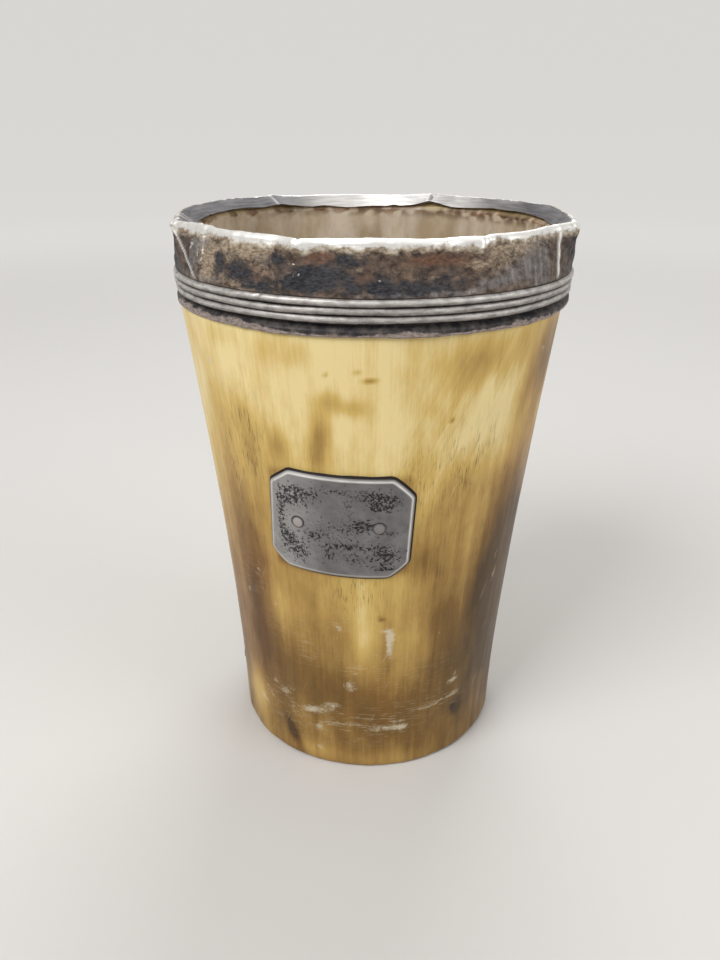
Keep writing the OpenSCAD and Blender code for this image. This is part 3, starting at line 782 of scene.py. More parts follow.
# Height of the rim: lower in front and higher behind, peaked at the bold corners, nicked
slit = near_to(collar_around, [(GAPING_SLIT, 0.42, 1.0)])
crest = rim_middle(collar_around) + 0.3 * peak_share * ease(-np.cos(collar_around), -0.3, 0.5)
crest = crest + 0.05 * ripple(collar_around, 0, 17.0, 31) + 0.02 * ripple(collar_around, 0, 3.0, 30)
crest = crest + near_to(collar_around, RISES) - near_to(collar_around, NICKS) - 1.5 * slit
tab_low = rim_middle(collar_around) - TAB_DEPTH + TAB_END_LOSS * peak_share
tab_low = tab_low + 0.05 * ripple(collar_around, 0, 9.0, 32) + 0.02 * ripple(collar_around, 0, 2.5, 33)
tab_low = tab_low + near_to(collar_around, TAB_ENDS)
skirt_low = COLLAR_Z + 0.10 * ripple(collar_around, 0, 22.0, 34) + 0.04 * ripple(collar_around, 0, 5.0, 35)


def steps(count):
    """count shares from 0 to 1, as a column."""
    return np.linspace(0, 1, count)[:, None]


def band_relief(angle, height, share):
    """Dents of the folded sheet, with its ridges and creases."""
    soft = 0.075 * ripple(angle, height, 9.0, 36) + 0.03 * ripple(angle, height, 2.8, 37)
    soft = (soft + 0.014 * ripple(angle, height, 1.1, 38)) * ease(share, 0.0, 0.25)
    for low_at, high_at, half_width, tall, start in RIDGES + CREASES:
        off = off_line(angle, low_at, high_at, share)
        soft = soft + tall * ease(share, start - 0.2, start + 0.2) * np.exp(-(off / half_width) ** 2)
    return soft


def past_edge(angle, depth, at, way):
    """How far a place on the tabs lies past the slanting edge of a lapping tab, in mm."""
    return side_of(angle, at, TAB_INNER_R) * way - TAB_SLANT * depth


def tab_set(angle, depth):
    """How far a tab stands into the mouth: where tabs overlap, the side past the edge is raised."""
    total = 0 * angle * depth
    for at, lift, way in OVERLAPS:
        off = past_edge(angle, depth, at, way)
        total = total + lift * ease(off, -0.12, 0.12) * (1 - ease(off, 3.0, 9.0))
    return total


band_share = steps(40)
band_height = FLARE_Z + (crest - ROLL_R - FLARE_Z) * band_share
fold = folded(collar_around, band_share)
dents = band_relief(collar_around, band_height, band_share)
band_r = FLARE_R + (fold - FLARE_R) * band_share + dents
rim_r = band_r[-1:]
print(f"dents of the band: {dents.min():.2f} to {dents.max():.2f} mm")

# %% [markdown]
# ## One outline, seven hundred times
#
# The outline of the sheet goes up the outside from the skirt's edge, flares over the reeds,
# goes round the rim, slopes down the face of the tab and comes back along the inside of the
# sheet. Each stretch is a block of rows, so the whole collar is one array with a row for
# each point of the outline and a column for each angle. A tab's back is its face moved
# square to itself by the thickness of the sheet.

# %% Make the collar
SKIRT_TOP = COLLAR_Z + 1.05
CREVICE = 0.05
HEM_H = 0.3
LINING_TOP = BAND_Z - 0.3
sine, cosine = arc(9)
turn_in = steps(7)[1:]
wide = np.ones_like(collar_around)
skirt_r = SKIRT_R + 0.03 * ripple(collar_around, 0, 30.0, 39)
tab_share = steps(22)[1:]
tab_start = rim_r - ROLL_R
tab_r = tab_start + (TAB_INNER_R - tab_start) * tab_share
tab_z = crest - (crest - tab_low) * tab_share ** 1.25
tab_r = tab_r - tab_set(collar_around, crest - tab_z) * ease(tab_share, 0.0, 0.4) + 0.25 * slit * tab_share
tab_r = tab_r - 0.05 * ripple(collar_around, tab_z, 8.0, 40) * tab_share
along_r, along_z = np.gradient(tab_r, axis=0), np.gradient(tab_z, axis=0)
length = np.hypot(along_r, along_z)
back_r = (tab_r - SHEET_T * along_z / length)[::-3]
back_z = (tab_z + SHEET_T * along_r / length)[::-3]

blocks = {
    "hem": [skirt_r - np.array([[SHEET_T / 2], [0.08], [0.0]]),
            skirt_low + np.array([[0.0], [0.05], [0.22]])],
    "skirt": [skirt_r + 0 * steps(5), skirt_low + HEM_H + (SKIRT_TOP - HEM_H - skirt_low) * steps(5)],
    "hollow": [skirt_r - HOLLOW * ease(turn_in, -0.15, 1.0),
               SKIRT_TOP + (REED_Z - CREVICE - SKIRT_TOP) * turn_in * wide],
    "hidden": [HOLLOW_R + LEAN * (BAND_Z - REED_Z) * steps(3) * wide,
               REED_Z + (BAND_Z - REED_Z) * (0.1 + 0.9 * steps(3)) * wide],
    "flare": [BAND_FOOT_R + (FLARE_R - BAND_FOOT_R) * ease(steps(5)[1:-1], -0.3, 1.0) * wide,
              BAND_Z + (FLARE_Z - BAND_Z) * steps(5)[1:-1] * wide],
    "band": [band_r, band_height],
    "roll": [rim_r - ROLL_R * (1 - cosine[1:]), crest - ROLL_R * (1 - sine[1:])],
    "tab": [tab_r, tab_z],
    "edge": [tab_r[-1:] + 0.14 * wide, tab_z[-1:] - 0.07],
    "back": [back_r, back_z],
    "inside": [band_r[::-4] - SHEET_T, np.minimum(band_height[::-4], crest - ROLL_R)],
    "lining": [HOLLOW_R - SHEET_T + 0 * steps(3) * wide,
               LINING_TOP - (LINING_TOP - REED_Z) * steps(3) * wide],
    "skirt_back": [skirt_r - SHEET_T - HOLLOW * ease(1 - steps(5), 0, 1.15),
                   SKIRT_TOP + (REED_Z - 3 * CREVICE - SKIRT_TOP) * (1 - steps(5)) * wide],
    "hem_back": [skirt_r - SHEET_T + 0 * steps(2), skirt_low + np.array([[0.5], [0.04]])],
}
rows = {name: np.broadcast_arrays(*parts)[0].shape[0] for name, parts in blocks.items()}
collar_r = np.vstack([np.broadcast_arrays(*parts)[0] for parts in blocks.values()])
collar_z = np.vstack([np.broadcast_arrays(*parts)[1] for parts in blocks.values()])
print(f"outline of {len(collar_r)} points, tabs {np.ptp(tab_z, axis=0).mean():.2f} mm deep")

# %% [markdown]
# ## Wear and tarnish of the collar, by place
#
# Silver blackens where nobody touches it. Between the lip and the reeds lie black patches, a
# copper-red film, yellowish grime along their edges, grey streaks and bright flecks. Some of the
# grey is a painted sheen, some flecks are painted highlights on the creases, and the black on
# the facets beyond the two ridges is painted shade. The lip is rubbed bare, the two ridges
# carry a painted highlight, and a ragged strip along the skirt's lower edge is rubbed grey.
# Each list holds places as those of the horn do. `WORN_HEM`, `LIP_DIPS` and the list of sides
# where the lip is painted in shade run round the cup only, so they hold an angle, a half width
# in millimetres and a height or a strength.

# %% Lay the tarnish
BLACK_AND_FACET_SHADE = [
    (-43, 109.4, 1.6, 2.4, 0.6), (-37, 109.6, 2, 2.2, 0.6), (-33.5, 108.2, 2.6, 1.6, 0.55),
    (-30, 106.4, 4, 0.9, 0.5), (-24, 111, 2.6, 0.9, 0.9, -0.1), (-19, 107.6, 4, 1.9, 0.7),
    (-13, 108.8, 3.4, 1.5, 0.8), (-6, 111, 3.6, 1.3, 0.62), (-1, 107.6, 6, 1.9, 0.52),
    (12, 106.6, 8, 1.5, 0.62), (20, 109, 4, 1.6, 0.3), (38, 111, 3, 1.4, 0.35),
    # The two places at -77 and 77 degrees paint the facets beyond the ridges dark: painted shade, not
    # tarnish.
    (-77, 109, 10, 6.5, 1.1), (77, 109, 9, 7, 1), (-115, 109, 10, 4, 0.45), (-165, 110, 12, 3, 0.5),
    (135, 109, 12, 4, 0.45), (105, 108, 6, 3, 0.45),
]
COPPER = [
    (-13, 111.7, 3, 1.1, 0.8), (-29, 109, 2.4, 2.2, 0.5), (-20, 107.6, 5, 1.2, 0.3),
    (11, 111.4, 5, 1.3, 0.5), (20, 111.2, 5, 1.8, 0.5), (-2, 109, 3, 2.2, 0.5), (33, 111, 5, 1.6, 0.35),
    (48, 110, 4, 2, 0.2), (-40, 106.8, 5, 0.9, 0.6), (-125, 111, 8, 2, 0.5), (170, 108, 12, 3, 0.4),
    (120, 111.5, 8, 2, 0.4),
]
GRIME = [
    (-49.5, 109.6, 1.8, 3.4, 0.9), (-42, 111.4, 6.5, 1.8, 0.9), (-31, 112, 5, 1.4, 0.75),
    (-42, 107, 5, 0.9, 0.75), (-46, 108.5, 1.2, 2.2, 0.8), (40, 112.2, 8, 1.3, 0.6),
    (-28, 109.6, 2, 1.6, 0.5), (-22, 107.4, 2.4, 1.2, 0.55), (-34, 106.4, 3, 0.8, 0.55),
    (-3.3, 109.9, 0.6, 0.5, 1), (14.5, 108.6, 3.6, 0.3, 0.62), (26, 110.3, 2.4, 0.9, 0.7),
    (34, 110, 2.6, 1.2, 0.6), (32, 112.4, 5, 1, 0.5), (-80, 111, 7, 3, 0.45), (8, 112.6, 6, 0.7, 0.45),
    (-14, 112.9, 6, 0.6, 0.5), (44, 111.6, 5, 1, 0.45), (-100, 112, 10, 1, 0.5), (150, 112, 12, 1, 0.6),
]
# Grey brushed metal. The places near the foot of the band at 23, 31 and -46 degrees, and the upright zone
# near -55 degrees, are a painted sheen of light.
GREY_AND_SHEEN = [
    (31, 107.3, 4.4, 0.9, 0.85, 0.25), (23, 106.2, 4, 0.5, 0.65, 0.1), (48, 109, 4.6, 6, 0.8),
    (38, 108.6, 4, 1.6, 0.55), (-46, 106.2, 3, 0.7, 0.6), (-55, 109, 2.6, 6, 0.6),
    (6, 106, 9, 0.5, 0.5), (-8, 113.1, 30, 0.4, 0.35), (-50, 112, 4, 1.2, 0.5), (110, 110, 9, 3, 0.6),
    (-130, 108, 8, 3, 0.6), (180, 112, 16, 1, 0.6),
]
# Flecks of bare metal. The first four places are a painted sheen of light, and the upright streaks between
# -57.5 and -51 degrees are painted highlights on the creases.
BARE_AND_HIGHLIGHTS = [
    (31, 107.5, 3, 0.6, 0.42, 0.3), (24, 106.2, 3, 0.3, 0.45, 0.1), (47, 108.6, 4, 3.2, 0.2),
    (-44, 106.2, 2.6, 0.4, 0.35), (-53.5, 110.2, 0.35, 2.6, 1), (-51.2, 110.5, 0.3, 2.8, 1),
    (-57.5, 111, 0.45, 2, 0.9), (-36, 113.1, 0.5, 0.35, 0.9), (-30.4, 112.9, 0.4, 0.25, 0.9),
    (-18.9, 110.6, 0.3, 0.25, 0.9), (-19, 108.9, 0.2, 0.35, 0.8), (-17.7, 108.9, 0.2, 0.35, 0.8),
    (1.4, 108.3, 0.4, 0.2, 0.8), (-3.3, 111.7, 0.5, 0.25, 0.5), (5.5, 109.6, 0.9, 0.25, 0.5),
    (12.5, 108.7, 1.6, 0.12, 0.5), (24.5, 112, 1.4, 0.18, 0.5), (34, 110.3, 1, 0.15, 0.5),
    (72, 112.8, 2, 1, 0.4), (-50, 113, 2.4, 0.5, 0.5), (58, 113, 4, 0.6, 0.4),
]
# Painted highlights on the tabs, brightest at the back of the cup: the metal is painted bright where it
# stands for a reflection. Each place is an angle, a height of 0, a half width, a half height that covers
# the whole tab, and a strength.
TAB_HIGHLIGHTS = [
    (176, 0, 14, 99, 1), (-160, 0, 7, 99, 0.4), (144, 0, 6, 99, 0.45), (126, 0, 7, 99, 0.2),
    (-141, 0, 0.4, 99, 0.35), (-80, 0, 0.5, 99, 0.5), (-84, 0, 0.4, 99, 0.4), (0, 0, 30, 99, 0.45),
]
WORN_HEM = [
    (-36, 6.5, 0.85), (-60, 10, 0.85), (8, 4.2, 0.65), (42, 6, 0.6), (75, 5, 0.3), (130, 8, 0.7),
    (-110, 9, 0.7), (175, 9, 0.5),
]
LIP_H = 1.55
LIP_DIPS = [(-16.5, 1.3, 0.55), (5.1, 1, 0.75), (26.5, 0.9, 0.5), (-48, 2.5, -0.3), (33, 2, -0.5),
            (40, 7, -0.25)]
# The lip and the top edge of the tabs are painted less bright at the two sides of the cup, as painted
# shade.
LIP_SIDES_IN_SHADE = [(-100, 24, 0.45), (105, 22, 0.45)]


def on(*names):
    """1 in the rows of the named blocks and 0 elsewhere, as a column."""
    return np.concatenate([np.full(rows[name], float(name in names)) for name in blocks])[:, None]


def in_band(values):
    """A field that is given for the rows of the band and is 0 elsewhere."""
    field = np.zeros_like(collar_z)
    field[on("band")[:, 0] > 0] = values
    return field


# A painted highlight runs up each of the two ridges: bright metal along the ridge line.
ridge_lines = 0
for low_at, high_at, half_width, _, start in RIDGES:
    off = off_line(collar_around, low_at, high_at, band_share) / (1.1 * half_width)
    ridge_lines = ridge_lines + ease(band_share, start - 0.05, start + 0.15) * np.exp(-off ** 2)
hem_top = COLLAR_Z + 0.6 + near_to(collar_around, WORN_HEM) + 0.08 * ripple(collar_around, 0, 3.0, 42)
hem_worn = on("hem", "skirt", "hollow") * (1 - ease(collar_z, hem_top - 0.6, hem_top + 0.35))
# deep paints the skirt, the hollow under the reeds, the hidden strip and the hem dark. On the hem rows
# under the skirt's lower edge, that dark is a painted contact shadow with the horn.
deep = on("hem", "skirt", "hollow", "hidden", "hem_back") + 0 * collar_z
lip_edge = CUP_H - LIP_H + 0.12 * ripple(collar_around, 0, 8.0, 43)
lip_edge = lip_edge + 0.05 * ripple(collar_around, 0, 2.0, 44) - near_to(collar_around, LIP_DIPS)
lip = on("band", "roll") * ease(collar_z, lip_edge - 1.6, lip_edge + 0.6)
tab_depth_share = np.clip((crest - collar_z) / (crest - tab_low), 0, 1)
lip = np.maximum(lip, 0.8 * on("tab") * (1 - ease(tab_depth_share, 0.03, 0.14)))
# Painted shade: the lip is dimmed at the sides of the cup.
lip = lip * (1 - near_to(collar_around, LIP_SIDES_IN_SHADE))
seams = sum(np.exp(-((past_edge(collar_around, crest - collar_z, at, way) + 0.1) / 0.14) ** 2)
            for at, _, way in OVERLAPS)
COLLAR_MARKS = {"black": BLACK_AND_FACET_SHADE, "copper": COPPER, "grime": GRIME, "grey": GREY_AND_SHEEN, "bare": BARE_AND_HIGHLIGHTS}
collar_fields = {name: marks(collar_around, collar_z, places) * on("band", "roll")
                 for name, places in COLLAR_MARKS.items()}
collar_fields.update(lip=lip, ridge=in_band(ridge_lines), hem=hem_worn, deep=deep + on("tab") * seams,
                     tab=on("tab") + 0 * collar_z,
                     shine=on("tab", "roll") * marks(collar_around, 0, TAB_HIGHLIGHTS))
collar_fields = {name: np.clip(field, 0, 1) for name, field in collar_fields.items()}
collar_fields["grain"] = turn(collar_around, SKIRT_R, collar_z) * MM
collar = solid("silver_collar", turn(collar_around, collar_r, collar_z) + AXIS_SHIFT,
               grid_faces(len(collar_r), collar_around.size), collar_fields, sharp=60.0)

# %% [markdown]
# ## The bed of pitch
#
# The folded corners stand off the round horn, and pitch fills the hollow behind them. Its
# surface follows the same polygon, half a millimetre inside the sheet, and the horn's
# dressed seat on the other side.

# %% Make the pitch
bed_share = band_share[2:-1:3]
bed_height = FLARE_Z + (np.minimum(crest - ROLL_R, MOUTH_HIGH) - FLARE_Z) * bed_share
bed_out = band_r[2:-1:3] - SHEET_T - 0.12
bed_in = SEAT_R + (LIP_R - SEAT_R) * (bed_height - REED_Z) / (HORN_TOP - REED_Z) + 0.05
bed_out = np.maximum(bed_out, bed_in + 0.05)
low_out = np.vstack([bed_out[:1] * 0 + HOLLOW_R - SHEET_T - 0.06, bed_out])
low_height = np.vstack([bed_height[:1] * 0 + REED_Z, bed_height])
low_in = np.vstack([bed_in[:1] * 0 + SEAT_R + 0.05, bed_in])
pitch_points = np.concatenate([turn(collar_around, low_out, low_height),
                               turn(collar_around, low_in[::-1], low_height[::-1])])
pitch = solid("pitch_filling", pitch_points + AXIS_SHIFT / 2,
              grid_faces(len(pitch_points), collar_around.size), sharp=60.0)

# %% [markdown]
# ## The reeded strip
#
# Three reeds were drawn in one strip of silver and the strip was bent round the cup and
# soldered. Across the strip the outline is three half rounds on a thin back. Along it, the
# reeds waver a little, the crests are rubbed lower in places, and a few have a nick or a
# break: its angle, half width, reed and depth.

# %% Make the reeds
REEDS = 3
REED_R = 0.63
STRIP_T = 0.45
BREAKS = [
    (-28.4, 0.35, 2, 0.42), (-15.6, 0.25, 2, 0.16), (-3, 0.3, 0, 0.25), (171, 0.25, 0, 0.45),
    (171, 0.25, 1, 0.4), (171, 0.25, 2, 0.45), (80, 0.5, 1, 0.2), (-60, 0.6, 2, 0.12),
]
reed_pitch = (BAND_Z - REED_Z) / REEDS
reed_around = np.linspace(-np.pi, np.pi, 720, endpoint=False)[None, :]
strip_back = HOLLOW_R + CREVICE
all_round = np.ones_like(reed_around)
strip_rows_r, strip_rows_z, reed_lit_sides = [], [], []
for reed in range(REEDS):
    up = reed_pitch * (reed + 0.5)
    swing = np.linspace(-np.pi / 2, np.pi / 2, 15)[:, None]
    rub = 0.05 * np.clip(ripple(reed_around, 0, 14.0, 51 + reed), -1, 2)
    breaks = [(at, half_width, depth) for at, half_width, which, depth in BREAKS if which == reed]
    rub = rub + (near_to(reed_around, breaks) if breaks else 0)
    waver = 0.035 * ripple(reed_around, 0, 20.0, 54 + reed)
    strip_rows_r.append(strip_back + STRIP_T + LEAN * up + (REED_R - rub) * np.cos(swing))
    strip_rows_z.append(REED_Z + up + waver + reed_pitch / 2 * np.sin(swing) + 0 * rub)
    # Each reed's upper side is marked light and its lower side dark, as a painted highlight and painted
    # shade lit from above. The top reed's upper half is kept light.
    reed_lit_side = np.clip(np.cos(swing - 0.35), 0, 1)
    if reed == REEDS - 1:
        reed_lit_side = np.where(swing > 0, np.maximum(reed_lit_side, 0.86), reed_lit_side)
    reed_lit_sides.append(reed_lit_side * all_round)
ends = np.array([[BAND_Z - 0.02], [BAND_Z - 0.02], [REED_Z + 0.02], [REED_Z + 0.02]]) * all_round
backs = (strip_back + np.array([[0.35], [0.2], [0.0], [0.2]])) * all_round
strip_r = np.vstack([*strip_rows_r, backs])
strip_z = np.vstack([*strip_rows_z, ends])
reed_lit_field = np.vstack([*reed_lit_sides, 0 * ends])
top_reed = ease(strip_z, BAND_Z - reed_pitch, BAND_Z - 0.8 * reed_pitch)
reeds = solid("reeded_strip", turn(reed_around, strip_r, strip_z) + AXIS_SHIFT,
              grid_faces(len(strip_r), reed_around.size),
              {"crest": reed_lit_field, "top": top_reed, "grain": turn(reed_around, SKIRT_R, strip_z) * MM},
              sharp=75.0)

# %% [markdown]
# ## The plate
#
# The plate is thick silver sheet bent to the horn, with its corners clipped by hand, so no
# two are alike, and a filed bevel that catches the light. Its outline is eight corners with
# a little bow in the long edges. Rings grow from the middle towards it, and the last ones
# follow it across the bevel. The pits are too many to model one by one, so the relief is
# dug where random noise is highest, and only where the places in the list allow it. Each
# holds its distance across and up from the plate's middle, half width, half height and
# strength.

# %% Work out the plate
PLATE_CORNERS = np.array([(-12.95, 8.25), (-9.0, 11.12), (10.09, 10.69), (14.04, 6.72),
                          (13.64, -7.79), (9.70, -11.16), (-10.67, -10.39), (-14.35, -7.0)])
PLATE_BOWS = [0.0, -0.10, 0.12, 0.0, 0.15, 0.22, 0.25, 0.0]
EDGE_T = 0.4
BEVEL_W = 0.55
DIRT_W = 0.5
PITS = [
    (-8, 7.2, 3, 1.7, 1), (-8.2, 5, 3.2, 1.9, 0.95), (-10.9, 0.8, 1.1, 5.2, 1),
    (-8, -6.2, 3, 2.6, 1.15), (-9.8, -3.2, 2, 1.6, 0.9), (-4.6, -2.2, 1.8, 1.2, 0.75),
    (-4, 6.9, 1.8, 1.6, 0.6), (-0.2, 7.9, 2, 0.7, 0.9), (6.6, 7.2, 4.4, 1.6, 1),
    (9, 5.8, 2.6, 1.4, 1.05), (6.8, 4.6, 1, 0.8, 1.2), (9.3, 4.4, 0.8, 0.7, 1.2),
    (4.8, 0.9, 2.6, 1.6, 1), (-0.3, -0.6, 6.5, 3.4, 0.55), (1.4, -3.9, 2.6, 0.9, 0.95),
    (-1.9, -5.9, 1.2, 2.2, 0.85), (9.3, -6, 3, 2.2, 1.1), (6.9, -3.9, 3, 0.8, 0.8),
    (9.8, -0.9, 2, 0.7, 0.9), (3.4, -6.6, 3.6, 1.8, 0.7), (2, 5, 1.4, 1.8, 0.6), (9, -8.8, 2.2, 0.8, 1),
]


def bowed_outline(corners, bows, count):
    """count points along a polygon whose sides bulge outwards by bows, as an arch over each
    side, rounded by averaging each point with its neighbours."""
    after = np.roll(corners, -1, axis=0)
    side = after - corners
    length = np.hypot(*side.T)
    normal = np.column_stack([-side[:, 1], side[:, 0]]) / length[:, None]
    reached = np.concatenate([[0], np.cumsum(length)])
    place = np.linspace(0, reached[-1], count, endpoint=False)
    which = np.searchsorted(reached, place, side="right") - 1
    share = ((place - reached[which]) / length[which])[:, None]
    bow = np.array(bows)[which][:, None]
    line = corners[which] + side[which] * share + normal[which] * bow * 4 * share * (1 - share)
    for _ in range(6):
        line = (np.roll(line, 1, axis=0) + line + np.roll(line, -1, axis=0)) / 3
    return line


PLATE_COLUMNS = 420
outline = bowed_outline(PLATE_CORNERS, PLATE_BOWS, PLATE_COLUMNS)
tangent = np.roll(outline, -1, axis=0) - np.roll(outline, 1, axis=0)
inward = np.column_stack([tangent[:, 1], -tangent[:, 0]]) / np.hypot(*tangent.T)[:, None]
bevel_in = BEVEL_W * np.array([1.55, 1.3, 1.12, 0.95, 0.7, 0.4, 0.18, 0.0])[:, None, None]
bevel_rings = outline + bevel_in * inward
middle = outline.mean(axis=0)
inner_rings = middle + (bevel_rings[0] - middle) * np.linspace(0, 1, 84)[:-1, None, None]
front = np.concatenate([inner_rings, bevel_rings])
from_edge = np.concatenate([np.full(len(inner_rings), 5 * BEVEL_W), bevel_in[:, 0, 0]])[:, None]
slope = EDGE_T + (PLATE_T - EDGE_T) * np.clip(from_edge / BEVEL_W, 0, 1) ** 0.9
across, up = front[..., 0], front[..., 1]

pit_zone = sum(share * np.exp(-((across - x) / w) ** 2 - ((up - y) / h) ** 2) for x, y, w, h, share in PITS)
speckle = 0.6 * ripple(across / SHOULDER_R, up, 0.95, 61, waves=90)
speckle = speckle + 0.4 * ripple(across / SHOULDER_R, up, 0.5, 62, waves=90)
pitted = ease(speckle + 1.5 * np.clip(pit_zone, 0, 1.15), 1.25, 1.75) * ease(from_edge, 0.6, 1.2)
hammered = 0.03 * ripple(across / SHOULDER_R, up, 7.0, 63)
hammered = hammered + 0.012 * ripple(across / SHOULDER_R, up, 2.2, 64)
sinks = np.zeros_like(across)
for way in (-1, 1):
    away = np.hypot(across - way * RIVET_HALF_GAP, up - RIVET_UP)
    sinks = np.maximum(sinks, 1 - ease(away, HEAD_R - 0.05, HEAD_R + 0.22))
plate_out = PLATE_FIT + slope + hammered * ease(from_edge, 0.0, 1.5) - 0.05 * pitted - 0.2 * sinks


def on_plate(local, out):
    """Places points of the plate on the cup: x is a length round the horn, y a height."""
    z = PLATE_Z + local[..., 1]
    return turn(math.radians(PLATE_ANGLE) + local[..., 0] / flank(PLATE_Z), flank(z) + out, z)


back = middle + (outline - middle) * np.linspace(1, 0, 9)[:, None, None]
dirt_ring = (outline - DIRT_W * inward)[None]
plate_points = np.concatenate(
    [on_plate(front, plate_out), on_plate(dirt_ring, -0.1), on_plate(back, -0.15)])
behind = np.zeros((1 + len(back), PLATE_COLUMNS))
bevelled = (1 - ease(from_edge, BEVEL_W - 0.1, BEVEL_W + 0.12)) + 0 * across
# Painted highlight along the crest of the bevel, brightest towards the upper right as if lit from there,
# and a painted sheen over the plate's left side.
lit_side = 0.45 + 0.55 * ease(up + 0.6 * across, -6.0, 6.0)
bevel_highlight_and_sheen = lit_side * np.exp(-((from_edge - BEVEL_W) / 0.18) ** 2) + 0.22 * ease(-across, 2.0, 9.0)
local = np.concatenate([front, dirt_ring, back])
local = np.concatenate([local, 0 * local[..., :1]], axis=-1) * MM
rivet_dirt = np.where(across > 0, 0.5, 1.0)
# The plate's edge, its side wall and its back are painted near black: dirt, and a painted contact shadow
# where the plate meets the horn.
edge_dirt_and_shadow = 1 - ease(from_edge, 0.02, 0.14)
dirt_and_edge_shadow = np.clip(np.maximum(1.2 * sinks * rivet_dirt, edge_dirt_and_shadow), 0, 1)
plate_fields = {
    "pits": np.concatenate([np.clip(pit_zone, 0, 1.1), behind]), "local": local,
    "bevel": np.concatenate([bevelled, behind]), "rub": np.concatenate([bevel_highlight_and_sheen, behind]),
    "dirt_and_edge_shadow": np.concatenate([dirt_and_edge_shadow, behind + 1])}
plate = solid("side_plate", plate_points, grid_faces(len(plate_points), PLATE_COLUMNS, close_rows=False),
              plate_fields, sharp=38.0, weld=True)

# %% [markdown]
# ## The finish of old silver
#
# Silver is bright, so nearly everything that the eye sees on old silver is what covers it:
# black silver sulphide in the hollows, brown tarnish on the flats, and clean metal only
# where hands and cloths reach. So the finish has two layers. The lower one is metal,
# brushed and scratched, and the upper one is tarnish, duller and less metallic. Each piece
# has a short function of its own that says where its tarnish lies, and one function lays
# the layers.

# %% Lay tarnish over silver


def silver_finish(name, wear, metal, held, polish=0.30, source="grain"):
    """Silver under films of tarnish. held names the mesh's fields that wear takes. wear is a
    function that returns the films, each a share and a colour, then the share of bright metal,
    where it is rubbed bare and where a highlight is painted, and a relief from 0 to 1."""
    material, tree, shader = finish(name, Specular_IOR_Level=0.2)
    place = add(tree, "Attribute", out="Vector", attribute_name=source)
    worn = {field: add(tree, "Attribute", out="Fac", attribute_name=field) for field in held}
    films, bright_metal, relief = wear(tree, place, **worn)
    brushed = spots(tree, place, 0.5, 0.5)
    colour = between(tree, brushed, 0.35, 0.7, metal, "#8d8883")
    covered = 0.0
    for share, film in films:
        colour = add(tree, "Mix", share, colour, film, data_type="RGBA")
        covered = add(tree, "Math", share, covered, operation="MAXIMUM")
    # Bright metal goes where it is rubbed bare and where a highlight is painted.
    colour = add(tree, "Mix", bright_metal, colour, paint("#f4f2ee"), data_type="RGBA")
    bare = add(tree, "MapRange", covered, 0.0, 1.0, 1.0, 0.12)
    bare = add(tree, "Math", bare, bright_metal, operation="MAXIMUM")
    gloss = add(tree, "MapRange", covered, 0.0, 1.0, polish, polish + 0.2)
    rough = add(tree, "MapRange", brushed, 0.3, 0.8, 0.0, 0.10)
    gloss = add(tree, "Math", gloss, rough, operation="ADD")
    height = add(tree, "Bump", 0.8, 0.05 * MM, None, relief)
    height = add(tree, "Bump", 0.8, 0.012 * MM, None, brushed, height)
    plug(tree, shader, Base_Color=colour, Metallic=bare, Roughness=gloss, Normal=height)
    return material


def ragged(tree, noise, field, low, high, gain=0.5):
    """A patch with a ragged edge: noise is lifted where the field is strong, by at most gain,
    and what rises from low to high passes from 0 to 1."""
    level = add(tree, "Math", field, gain, noise, operation="MULTIPLY_ADD")
    return add(tree, "MapRange", level, low, high)


def without(tree, share, *others):
    """A share, kept only where the others are not."""
    for other in others:
        free = add(tree, "Math", 1.0, other, operation="SUBTRACT", use_clamp=True)
        share = add(tree, "Math", share, free, operation="MULTIPLY")
    return share


# %% [markdown]
# ## Where each silver piece is worn, and where light is painted on it
#
# The sheet of the collar was never polished between its dents, so it is blotched black and
# brown there, and bright on the lip, which a hand wipes dry. The ridges and the tabs carry
# painted highlights, brightest at the back of the cup, and the rest of the tabs is painted a
# darker grey as painted shade. Below the lip the bright metal passes through a cream-coloured
# film. The reeds are grey, with a painted highlight on the upper side of each crest and black
# lines between them, which are tarnish and painted shade. The plate is grey and evenly rubbed,
# with black pits, a painted highlight along the crest of its bevel, a painted sheen towards its
# left and an edge of dirt and painted contact shadow, and its rivets sit in rings of dirt.

# %% Place the wear


